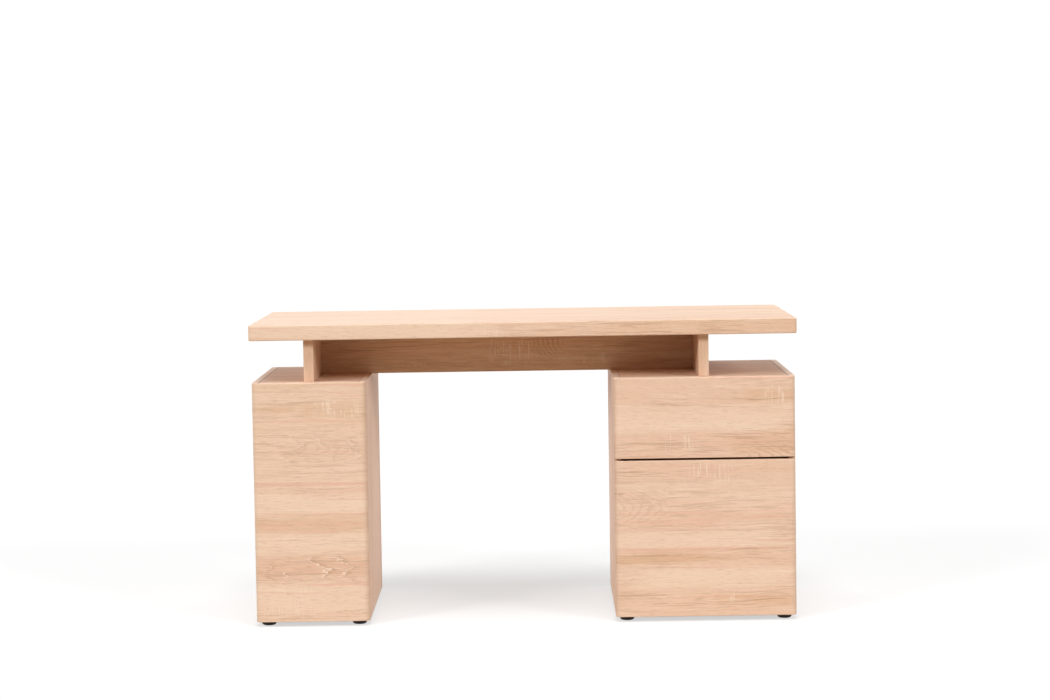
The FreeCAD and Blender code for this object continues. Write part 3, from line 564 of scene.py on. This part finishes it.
# Placed features: kind, middle along and across, half length and width in metres on the board, strength
boardSpots = {
    "left_door": [
        ("Calm And Lit Spot", -0.530, 0.300, 0.300, 0.600, 0.38),
        ("Tan And Shade Spot", -0.470, 0.538, 0.095, 0.022, 0.75),
        ("Saw Spot", -0.450, 0.540, 0.075, 0.024, 0.65),
        ("Tan And Shade Spot", -0.620, 0.541, 0.070, 0.008, 0.9),
        ("Line Spot", -0.530, 0.432, 0.200, 0.060, 1.0),
        ("Arch Spot", -0.480, 0.446, 0.110, 0.040, 0.45),
        ("Figure Spot", -0.480, 0.440, 0.130, 0.034, 0.45),
        ("Pink Spot", -0.540, 0.356, 0.200, 0.005, 0.8),
        ("Line Spot", -0.530, 0.344, 0.200, 0.006, 1.0),
        ("Calm And Lit Spot", -0.530, 0.306, 0.200, 0.030, 1.0),
        ("Tan And Shade Spot", -0.625, 0.258, 0.060, 0.008, 1.0),
        ("Calm And Lit Spot", -0.530, 0.212, 0.200, 0.032, 1.0),
        ("Pink Spot", -0.530, 0.145, 0.200, 0.030, 0.40),
        ("Tan And Shade Spot", -0.530, 0.150, 0.200, 0.028, 0.35),
        ("Figure Spot", -0.525, 0.143, 0.130, 0.030, 1.0),
        ("Line Spot", -0.530, 0.140, 0.200, 0.034, 1.0),
        ("Calm And Lit Spot", -0.530, 0.070, 0.200, 0.040, 0.9),
        ("Saw Spot", -0.590, 0.062, 0.075, 0.040, 0.55),
    ],
    "drawer_left_side": [("Calm And Lit Spot", -0.050, 0.500, 0.600, 0.300, 0.9)],
    "drawer_right_side": [("Calm And Lit Spot", -0.050, 0.500, 0.600, 0.300, 0.9)],
    "drawer_back": [("Calm And Lit Spot", 0.440, 0.500, 0.600, 0.300, 0.9)],
    "drawer_front": [
        ("Tan And Shade Spot", 0.620, 0.560, 0.080, 0.016, 0.55),
        ("Saw Spot", 0.632, 0.562, 0.045, 0.026, 0.7),
        ("Line Spot", 0.470, 0.543, 0.160, 0.012, 1.0),
        ("Calm And Lit Spot", 0.400, 0.500, 0.260, 0.030, 1.0),
        ("Saw Spot", 0.388, 0.446, 0.045, 0.022, 0.7),
        ("Tan And Shade Spot", 0.600, 0.438, 0.100, 0.022, 0.45),
        ("Arch Spot", 0.630, 0.385, 0.110, 0.074, 0.95),
        ("Line Spot", 0.440, 0.434, 0.250, 0.020, 1.0),
    ],
    "right_door": [
        ("Saw Spot", 0.460, 0.372, 0.060, 0.026, 0.7),
        ("Pink Spot", 0.450, 0.376, 0.090, 0.016, 0.35),
        ("Arch Spot", 0.290, 0.285, 0.090, 0.060, 0.5),
        ("Figure Spot", 0.290, 0.305, 0.080, 0.024, 0.4),
        ("Line Spot", 0.440, 0.280, 0.260, 0.018, 1.0),
        ("Pink Spot", 0.360, 0.246, 0.140, 0.010, 0.55),
        ("Calm And Lit Spot", 0.420, 0.206, 0.240, 0.022, 1.0),
        ("Pink Spot", 0.440, 0.180, 0.250, 0.004, 0.7),
        ("Line Spot", 0.440, 0.156, 0.260, 0.018, 1.0),
        ("Calm And Lit Spot", 0.460, 0.108, 0.200, 0.026, 0.9),
        ("Line Spot", 0.440, 0.054, 0.260, 0.020, 1.0),
        ("Tan And Shade Spot", 0.580, 0.052, 0.110, 0.014, 0.5),
        ("Saw Spot", 0.515, 0.054, 0.020, 0.016, 0.6),
    ],
    # painted shade: both uprights darkened to tan, for the desktop's shade over them
    "left_upright": [("Tan And Shade Spot", 0.660, 0.000, 0.200, 0.900, 0.5)],
    "right_upright": [("Tan And Shade Spot", 0.660, 0.000, 0.200, 0.900, 0.5)],
    "cross_panel": [
        # painted shade: the whole cross panel is darkened to tan, for the shade under the desktop
        ("Tan And Shade Spot", -0.040, 0.660, 0.800, 0.120, 1.0),
        ("Saw Spot", -0.030, 0.662, 0.070, 0.034, 0.8),
        ("Arch Spot", 0.062, 0.690, 0.050, 0.075, -1.4),
        ("Calm And Lit Spot", -0.040, 0.618, 0.700, 0.018, 0.40),
        ("Arch Spot", -0.270, 0.628, 0.060, 0.022, 0.8),
        ("Saw Spot", 0.185, 0.636, 0.040, 0.018, 0.5),
        ("Line Spot", 0.000, 0.650, 0.600, 0.060, 1.0),
    ],
    "desktop": [
        # painted light: the desktop's left made calmer and creamier and its right tan, as if lit more from
        # the left
        ("Calm And Lit Spot", -0.420, 0.000, 0.360, 0.900, 0.7),
        ("Tan And Shade Spot", 0.500, 0.000, 0.300, 0.900, 0.3),
        ("Line Spot", 0.400, -0.300, 0.300, 0.500, 0.8),
    ],
}

# Edges of the boards: worn arrises, edging, dark seams beside the cabinet tops that are partly painted
# shadow, and the divider's edge painted black as shade in the gap over the door
edgeLook = {
    "wear": 0.25,
    "edgings": {"desktop": (0.0020, 0.009)},    # edging's thickness and the board's corner radius
    "plainEdging": (0.0010, 0.0),
    "lineWidth": 0.0005,
    "lineDark": 0.45,
    "lineSoft": 0.4,
    "seamedTops": {"left_top": -1.0, "right_top": 1.0},    # the end whose seam is dark
    # dark brown of the seams: partly the joint line, partly painted shadow
    "seamShadow": (0.15, 0.072, 0.034, 1),
    "seamWidth": 0.0022,
    "seamSoft": 0.3,
    "innerSeam": 0.35,        # strength of the seam at the other end
    "paleEdged": ("left_outer_side", "left_inner_side", "right_inner_side", "right_outer_side"),
    "sideEdge": (0.900, 0.735, 0.610, 1),
    "sideStep": (0.70, 0.95, 0.65),
    "shadedGapBoard": "right_divider",    # its front edge, seen through the gap over the door, is painted near-black as shade
    "gapShadeColour": (0.075, 0.038, 0.020, 1),
    "gapShadeStep": (0.60, 0.90),
}


def placedSpots(tree, name, onBoard):
    spots = {}
    for kind, *sizes in boardSpots.get(name, []):
        group = archSpot if kind == "Arch Spot" else decorSpot
        inputs = {"Along": onBoard[0], "Across": onBoard[1], **dict(zip(spotSizes, sizes))}
        mask = placeGroup(tree, group, inputs)["Mask"]
        spots[kind] = most(tree, spots[kind], mask) if kind in spots else mask
    return spots


def edgingLine(tree, look, name, order, onBoard):
    # a thin line on the faces, as far in from the board's outline as its edging is thick
    thick, corner = look["edgings"].get(name, look["plainEdging"])
    low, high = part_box(name)
    past = []
    for way, letter in enumerate(order[:2]):
        axis = "XYZ".index(letter)
        fromMiddle = calc(tree, "SUBTRACT", onBoard[way], (low[axis] + high[axis]) / 2)
        straight = (high[axis] - low[axis]) / 2 - corner
        past.append(calc(tree, "SUBTRACT", calc(tree, "ABSOLUTE", fromMiddle), straight))
    atCorner = lengthOf(tree, *[most(tree, value, 0.0) for value in past])
    inside = calc(tree, "MINIMUM", most(tree, *past), 0.0)
    depth = calc(tree, "SUBTRACT", corner, plus(tree, atCorner, inside))
    half = look["lineWidth"] / 2
    off = calc(tree, "ABSOLUTE", calc(tree, "SUBTRACT", depth, thick + half))
    return smoothStep(tree, off, half, half * look["lineSoft"], look["lineDark"])


def seamAndShadowLines(tree, look, name, onBoard, colour):
    # dark lines where a cabinet top meets the side boards: partly the joint, partly painted shadow in the gap
    low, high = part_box(name)
    outward = calc(tree, "SUBTRACT", onBoard[0], (low.x + high.x) / 2)
    start = (high.x - low.x) / 2 - look["seamWidth"]
    full = start + look["seamWidth"] * look["seamSoft"]
    darkEnd = look["seamedTops"][name]
    for end, strength in ((darkEnd, 1.0), (-darkEnd, look["innerSeam"])):
        seamShadow = smoothStep(tree, times(tree, outward, end), start, full, strength)
        colour = mixColour(tree, seamShadow, colour, look["seamShadow"])
    return colour


def finishEdges(tree, look, name, order, onBoard, facing, colour):
    if name not in wrappedFronts:
        line = edgingLine(tree, look, name, order, onBoard)
        colour = mixColour(tree, line, colour, oakDecor["brown"])
    if name in look["seamedTops"]:
        colour = seamAndShadowLines(tree, look, name, onBoard, colour)
    # painted shade: the divider's front edge, facing the gap between drawer front and door, turns near-black
    if name == look["shadedGapBoard"]:
        forward = times(tree, splitPlace(tree, facing)[1], -1.0)
        colour = mixColour(tree, smoothStep(tree, forward, *look["gapShadeStep"]), colour, look["gapShadeColour"])
    if name in look["paleEdged"]:
        upward = smoothStep(tree, splitPlace(tree, facing)[0], *look["sideStep"])
        colour = mixColour(tree, upward, colour, look["sideEdge"])
    return colour


def oakBoard(name, order, cutFrom, figure, saw):
    material, tree, shader = newMaterial("oak_" + name)
    coordinates = addNode(tree, "TexCoord").outputs
    place = pickAxes(tree, coordinates["Object"], order)
    facing = pickAxes(tree, coordinates["Normal"], order)
    onBoard = splitPlace(tree, place)
    place = addNode(tree, "Mapping", {"Vector": place, "Location": (*cutFrom, 0.0)}).outputs[0]
    wrapped = 1.0 if name in wrappedFronts else 0.0
    faces = placeGroup(tree, boardFaces, {"Place": place, "Facing": facing, "Wrapped Ends": wrapped})
    oak = placeGroup(tree, sawnOak, {"Along": faces["Along"], "Across": faces["Across"], "Figure": figure,
                                     "Saw Marks": saw, **placedSpots(tree, name, onBoard)})
    wear = times(tree, faces["Edge"], edgeLook["wear"])
    colour = mixColour(tree, wear, oak["Color"], oakDecor["cream"])
    colour = finishEdges(tree, edgeLook, name, order, onBoard, facing, colour)
    plug(tree, colour, shader.inputs["Base Color"])
    plug(tree, oak["Roughness"], shader.inputs["Roughness"])
    shader.inputs["Specular IOR Level"].default_value = oakDecor["specular"]
    roughen(tree, shader, oak["Height"], *oakDecor["bump"])
    return material


def dress(name, material):
    mesh = cadNodes[name].data
    mesh.materials.clear()
    mesh.materials.append(material)


for name, settings in oakBoards.items():
    dress(name, oakBoard(name, *settings))
print("oak boards dressed:", len(oakBoards))


# Hardboard sheets: printed with the decor on the inner side, raw brown fibre on the outer side
hardboardSheets = {
    # piece: axis order, decor cut from, the way the raw side faces
    "left_back": ("XZY", (41.3, 0.20), (0, 1, 0)),
    "right_back": ("XZY", (43.9, 0.50), (0, 1, 0)),
    "drawer_bottom": ("XYZ", (46.2, 0.10), (0, 0, -1)),
}
rawFibre = {
    "dark": (0.250, 0.150, 0.085, 1),
    "light": (0.430, 0.285, 0.175, 1),
    "tone": (0.42, 0.66),
    "bendNoise": (30.0, 2.0, 0.5),    # scale, detail, roughness
    "bendReach": (0.05, 0.05, 0.05),
    "strands": ((90.0, 700.0, 90.0), (700.0, 90.0, 700.0)),
    "strandNoise": (1.0, 3.0, 0.6),
    "cloudNoise": (14.0, 4.0, 0.6),
    "cloudShare": 0.25,
    "printedFacing": -0.5,            # faces turned further from the raw side are printed
    "printedFigure": 0.3,
    "rough": 0.72,
    "specular": 0.2,
    "bump": (0.35, 0.0003),
}


def fibreMask(tree, look, place, order):
    # fibres lie every way: two drawn-out noises, bent by a slower one
    slow = noiseAt(tree, place, *look["bendNoise"], "Color")
    bent = addNode(tree, "VectorMath", {0: slow, 1: look["bendReach"], 2: place}, operation="MULTIPLY_ADD")
    bent = pickAxes(tree, bent.outputs[0], order)
    strands = []
    for stretch in look["strands"]:
        drawn = addNode(tree, "Mapping", {"Vector": bent, "Scale": stretch}).outputs[0]
        strands.append(noiseAt(tree, drawn, *look["strandNoise"]))
    return most(tree, *strands)


def hardboardSheet(look, name, order, cutFrom, rawSide):
    material, tree, shader = newMaterial("hardboard_" + name)
    coordinates = addNode(tree, "TexCoord").outputs
    place = coordinates["Object"]
    onSheet = splitPlace(tree, pickAxes(tree, place, order))
    oak = placeGroup(tree, sawnOak, {
        "Along": plus(tree, onSheet[0], cutFrom[0]), "Across": plus(tree, onSheet[1], cutFrom[1]),
        "Figure": look["printedFigure"], "Saw Marks": 0.0})
    facing = addNode(tree, "VectorMath", {0: coordinates["Normal"], 1: rawSide}, operation="DOT_PRODUCT")
    raw = calc(tree, "GREATER_THAN", facing.outputs["Value"], look["printedFacing"])
    fibre = fibreMask(tree, look, place, order)
    cloud = noiseAt(tree, place, *look["cloudNoise"])
    strands = times(tree, fibre, 1.0 - look["cloudShare"])
    mottle = calc(tree, "MULTIPLY_ADD", cloud, look["cloudShare"], strands)
    brown = mixColour(tree, smoothStep(tree, mottle, *look["tone"]), look["dark"], look["light"])
    plug(tree, mixColour(tree, raw, oak["Color"], brown), shader.inputs["Base Color"])
    plug(tree, mixValue(tree, raw, oak["Roughness"], look["rough"]), shader.inputs["Roughness"])
    shader.inputs["Specular IOR Level"].default_value = look["specular"]
    roughen(tree, shader, times(tree, fibre, raw), *look["bump"])
    return material


for name, settings in hardboardSheets.items():
    dress(name, hardboardSheet(rawFibre, name, *settings))
print("hardboard dressed:", len(hardboardSheets))


# Metal, plastic and dowel finishes, by the record's material slots
metals = {
    # slot: name, colour, share of it in the darker strokes, metallic, roughness from and to, stretch, bump
    "nickel_steel": ("nickelSteel", (0.80, 0.79, 0.76, 1), 0.92, 0.70, (0.34, 0.46), 0.06, 0.05),
    "zinc": ("dieCastZinc", (0.66, 0.67, 0.68, 1), 0.88, 0.65, (0.45, 0.58), 1.0, 0.10),
}
mouldings = {
    # slot: name, colour, roughness from and to, grain scale, bump, specular level
    "black_plastic": ("blackGlide", (0.007, 0.007, 0.008, 1), (0.45, 0.60), 2500, 0.20, 0.30),
    "grey_plastic": ("greyHousing", (0.30, 0.30, 0.31, 1), (0.40, 0.55), 2500, 0.15, 0.5),
    "white_plastic": ("whiteNylon", (0.78, 0.78, 0.75, 1), (0.30, 0.42), 1800, 0.08, 0.5),
    "runner_coating": ("whiteEpoxy", (0.76, 0.75, 0.72, 1), (0.30, 0.42), 1400, 0.12, 0.5),
}
beech = {
    "light": (0.64, 0.43, 0.25, 1),
    "dark": (0.50, 0.31, 0.17, 1),
    "fleckNoise": (700.0, 5.0, 0.65),    # scale, detail, roughness
    "fleckStep": (0.40, 0.62),
    "rough": (0.55, 0.70),
    "bump": (0.3, 0.0002),
}
finishGrain = {
    "strokeNoise": (2600.0, 3.0, 0.6),
    "metalCloud": (70.0, 2.0, 0.5),
    "mouldedDetail": (4.0, 0.6),
    "mouldedCloud": (40.0, 2.0, 0.5),
    "cloudShare": 0.5,
    "tone": (0.35, 0.65),
    "noiseRange": (0.3, 0.7),            # what the noises mostly reach
    "metalBump": 0.00005,
    "mouldedBump": 0.0002,
    "lighter": (1.10, 0.002),            # times and plus, for a moulding's light places
}


def between(tree, value, low, high):
    least, greatest = finishGrain["noiseRange"]
    made = addNode(tree, "MapRange", {"Value": value, "From Min": least, "From Max": greatest,
                                      "To Min": low, "To Max": high})
    return made.outputs["Result"]


def clouded(tree, look, cloud, grain):
    share = look["cloudShare"]
    return calc(tree, "MULTIPLY_ADD", cloud, share, times(tree, grain, 1.0 - share))


def metalFinish(look, name, colour, darkShare, metallic, rough, stretch, bump):
    # fine strokes drawn out along the height, over a faint cloud
    material, tree, shader = newMaterial(name)
    shader.inputs["Metallic"].default_value = metallic
    place = addNode(tree, "TexCoord").outputs["Object"]
    drawn = addNode(tree, "Mapping", {"Vector": place, "Scale": (1.0, 1.0, stretch)}).outputs[0]
    strokes = noiseAt(tree, drawn, *look["strokeNoise"])
    mixed = clouded(tree, look, noiseAt(tree, place, *look["metalCloud"]), strokes)
    dark = tuple(channel * darkShare for channel in colour[:3]) + (1,)
    tone = smoothStep(tree, mixed, *look["tone"])
    plug(tree, mixColour(tree, tone, dark, colour), shader.inputs["Base Color"])
    plug(tree, between(tree, mixed, *rough), shader.inputs["Roughness"])
    roughen(tree, shader, strokes, bump, look["metalBump"])
    return material


def mouldedFinish(look, name, colour, rough, grainScale, bump, specular):
    material, tree, shader = newMaterial(name)
    place = addNode(tree, "TexCoord").outputs["Object"]
    grain = noiseAt(tree, place, grainScale, *look["mouldedDetail"])
    mixed = clouded(tree, look, noiseAt(tree, place, *look["mouldedCloud"]), grain)
    share, lift = look["lighter"]
    light = tuple(min(1.0, channel * share + lift) for channel in colour[:3]) + (1,)
    tone = smoothStep(tree, mixed, *look["tone"])
    plug(tree, mixColour(tree, tone, colour, light), shader.inputs["Base Color"])
    plug(tree, between(tree, grain, *rough), shader.inputs["Roughness"])
    shader.inputs["Specular IOR Level"].default_value = specular
    roughen(tree, shader, grain, bump, look["mouldedBump"])
    return material


def beechFinish(look):
    material, tree, shader = newMaterial("beechRod")
    fleck = noiseAt(tree, addNode(tree, "TexCoord").outputs["Object"], *look["fleckNoise"])
    tone = smoothStep(tree, fleck, *look["fleckStep"])
    plug(tree, mixColour(tree, tone, look["light"], look["dark"]), shader.inputs["Base Color"])
    plug(tree, between(tree, fleck, *look["rough"]), shader.inputs["Roughness"])
    roughen(tree, shader, fleck, *look["bump"])
    return material


slotFinish = {"dowel_wood": beechFinish(beech)}
for slot, settings in metals.items():
    slotFinish[slot] = metalFinish(finishGrain, *settings)
for slot, settings in mouldings.items():
    slotFinish[slot] = mouldedFinish(finishGrain, *settings)
for row in frame["record"]["subparts"]:
    finish = slotFinish.get(row["material_slot"])
    if finish:
        dress(row["node"], finish)
print("fittings dressed")


# Screws: heads with a cross recess, set by Geometry Nodes where the plain screws are
screwShape = {
    "slot": "nickel_steel",
    "rounds": 20,
    "armWidth": 0.30,          # shares of the head's radius and length
    "armLength": 1.15,
    "recessDepth": 0.55,
}
screwTrace = {
    # tolerances in metres, for reading a plain screw's sizes
    "sameVertex": 1e-6,
    "onFace": 1e-5,
    "pastCrown": 1e-4,
    "onShank": 5e-5,
    "endShare": 0.2,           # of the screw's length
    "digits": 5,
}
screwBodies = {
    "fitting_screws": "desk",
    "upright_screws": "desk",
    "left_cup_screws": "left_door",
    "right_cup_screws": "right_door",
    "drawer_screws": "drawer",
}
screwSizes = ("Head Radius", "Head Length", "Crown Radius", "Shank Radius", "Shank Length")


def crossScrewGroup(look):
    tree = bpy.data.node_groups.new("crossScrews", "GeometryNodeTree")
    sockets = {"Geometry": "Geometry", **dict.fromkeys(screwSizes, "Float"), "Plating": "Material"}
    for label, kind in sockets.items():
        tree.interface.new_socket(label, in_out="INPUT", socket_type="NodeSocket" + kind)
    tree.interface.new_socket("Geometry", in_out="OUTPUT", socket_type="NodeSocketGeometry")
    given = tree.nodes.new("NodeGroupInput").outputs
    result = tree.nodes.new("NodeGroupOutput").inputs

    def shape(kind, inputs=None, **settings):
        return makeNode(tree, "GeometryNode" + kind, inputs, **settings)

    def lowered(mesh, height):
        place = joinPlace(tree, 0.0, 0.0, height)
        return shape("Transform", {"Geometry": mesh, "Translation": place}).outputs["Geometry"]

    down = times(tree, given["Head Length"], -1.0)
    head = shape("MeshCone", {"Vertices": look["rounds"], "Side Segments": 1,
                              "Radius Top": given["Crown Radius"], "Radius Bottom": given["Head Radius"],
                              "Depth": given["Head Length"]})
    cutHead = shape("MeshBoolean", {"Mesh 1": lowered(head.outputs["Mesh"], down)},
                    operation="DIFFERENCE", solver="EXACT")

    # two crossed bars cut the recess
    reach = times(tree, given["Head Radius"], look["armLength"])
    wide = times(tree, given["Head Radius"], look["armWidth"])
    deep = times(tree, given["Head Length"], look["recessDepth"] * 2)
    cross = shape("MeshBoolean", operation="UNION", solver="EXACT")
    for size in (joinPlace(tree, reach, wide, deep), joinPlace(tree, wide, reach, deep)):
        bar = shape("MeshCube", {"Size": size})
        tree.links.new(bar.outputs["Mesh"], cross.inputs["Mesh 2"])
    tree.links.new(cross.outputs["Mesh"], cutHead.inputs["Mesh 2"])

    shank = shape("MeshCylinder", {"Vertices": look["rounds"], "Radius": given["Shank Radius"],
                                   "Depth": given["Shank Length"]})
    middle = plus(tree, down, times(tree, given["Shank Length"], -0.5))
    screw = shape("JoinGeometry")
    tree.links.new(lowered(shank.outputs["Mesh"], middle), screw.inputs[0])
    tree.links.new(cutHead.outputs["Mesh"], screw.inputs[0])

    aim = shape("InputNamedAttribute", {"Name": "aim"}, data_type="FLOAT_VECTOR").outputs["Attribute"]
    turn = makeNode(tree, "FunctionNodeAlignRotationToVector", {"Vector": aim}, axis="Z")
    placed = shape("InstanceOnPoints", {"Points": given["Geometry"], "Instance": screw.outputs[0],
                                        "Rotation": turn.outputs[0]})
    real = shape("RealizeInstances", {"Geometry": placed.outputs[0]})
    plated = shape("SetMaterial", {"Geometry": real.outputs[0], "Material": given["Plating"]})
    plug(tree, plated.outputs[0], result["Geometry"])
    return tree


def measureScrew(points, trace):
    # head face, way out of the wood, and sizes in the order of screwSizes
    low = Vector([min(point[axis] for point in points) for axis in range(3)])
    high = Vector([max(point[axis] for point in points) for axis in range(3)])
    size = high - low
    middle = (low + high) / 2
    axis = max(range(3), key=lambda way: size[way])

    def radius(point):
        flat = point - middle
        flat[axis] = 0.0
        return flat.length

    def widest(end):
        near = size[axis] * trace["endShare"]
        return max(radius(point) for point in points if abs(point[axis] - end) < near)

    headHigh = widest(high[axis]) > widest(low[axis])
    face, tip = (high[axis], low[axis]) if headHigh else (low[axis], high[axis])
    aim = Vector((0, 0, 0))
    aim[axis] = 1.0 if headHigh else -1.0
    place = middle.copy()
    place[axis] = face
    shank = max(radius(point) for point in points if abs(point[axis] - tip) < trace["onFace"])
    depths = [(abs(point[axis] - face), radius(point)) for point in points]
    headRadius = max(far for depth, far in depths)
    crown = max(far for depth, far in depths if depth < trace["onFace"])
    headLength = min(depth for depth, far in depths
                     if depth > trace["pastCrown"] and abs(far - shank) < trace["onShank"])
    sizes = (headRadius, headLength, crown, shank, size[axis] - headLength)
    return place, aim, tuple(round(value, trace["digits"]) for value in sizes)


def plainScrews(name, trace):
    # each loose part of the CAD piece is one screw
    merged = bmesh.new()
    merged.from_mesh(cadNodes[name].data)
    bmesh.ops.remove_doubles(merged, verts=merged.verts, dist=trace["sameVertex"])
    seen = set()
    found = []
    for start in merged.verts:
        if start in seen:
            continue
        seen.add(start)
        part = []
        waiting = [start]
        while waiting:
            vert = waiting.pop()
            part.append(vert.co.copy())
            for link in vert.link_edges:
                other = link.other_vert(vert)
                if other not in seen:
                    seen.add(other)
                    waiting.append(other)
        found.append(measureScrew(part, trace))
    merged.free()
    return found


def screwMesh(group, sizes, spots, plating):
    # one size of screw at all its places, as a plain mesh
    mesh = bpy.data.meshes.new("screwSpots")
    mesh.from_pydata([place for place, aim in spots], [], [])
    aims = mesh.attributes.new("aim", "FLOAT_VECTOR", "POINT")
    aims.data.foreach_set("vector", [value for place, aim in spots for value in aim])
    holder = bpy.data.objects.new("screwSpots", mesh)
    scene.collection.objects.link(holder)
    modifier = holder.modifiers.new("crossScrews", "NODES")
    modifier.node_group = group
    wanted = {**dict(zip(screwSizes, sizes)), "Plating": plating}
    for item in group.interface.items_tree:
        if item.in_out == "INPUT" and item.name in wanted:
            modifier[item.identifier] = wanted[item.name]
    bpy.context.view_layer.update()
    plain = bpy.data.meshes.new_from_object(holder.evaluated_get(bpy.context.evaluated_depsgraph_get()))
    holder.modifiers.remove(modifier)
    bpy.data.objects.remove(holder)
    bpy.data.meshes.remove(mesh)
    return plain


def setScrews(name, body, group, look):
    plating = slotFinish[look["slot"]]
    spotsBySize = {}
    for place, aim, sizes in plainScrews(name, screwTrace):
        spotsBySize.setdefault(sizes, []).append((place, aim))
    joined = bmesh.new()
    for sizes, spots in spotsBySize.items():
        plain = screwMesh(group, sizes, spots, plating)
        joined.from_mesh(plain)
        bpy.data.meshes.remove(plain)
    mesh = bpy.data.meshes.new(name + "_cross")
    joined.to_mesh(mesh)
    joined.free()
    mesh.materials.append(plating)
    screws = bpy.data.objects.new(name + "_cross", mesh)
    scene.collection.objects.link(screws)
    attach(screws, body)
    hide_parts(name)
    return sum(len(spots) for spots in spotsBySize.values())


crossScrews = crossScrewGroup(screwShape)
for name, body in screwBodies.items():
    print("screws set:", name, setScrews(name, body, crossScrews, screwShape))
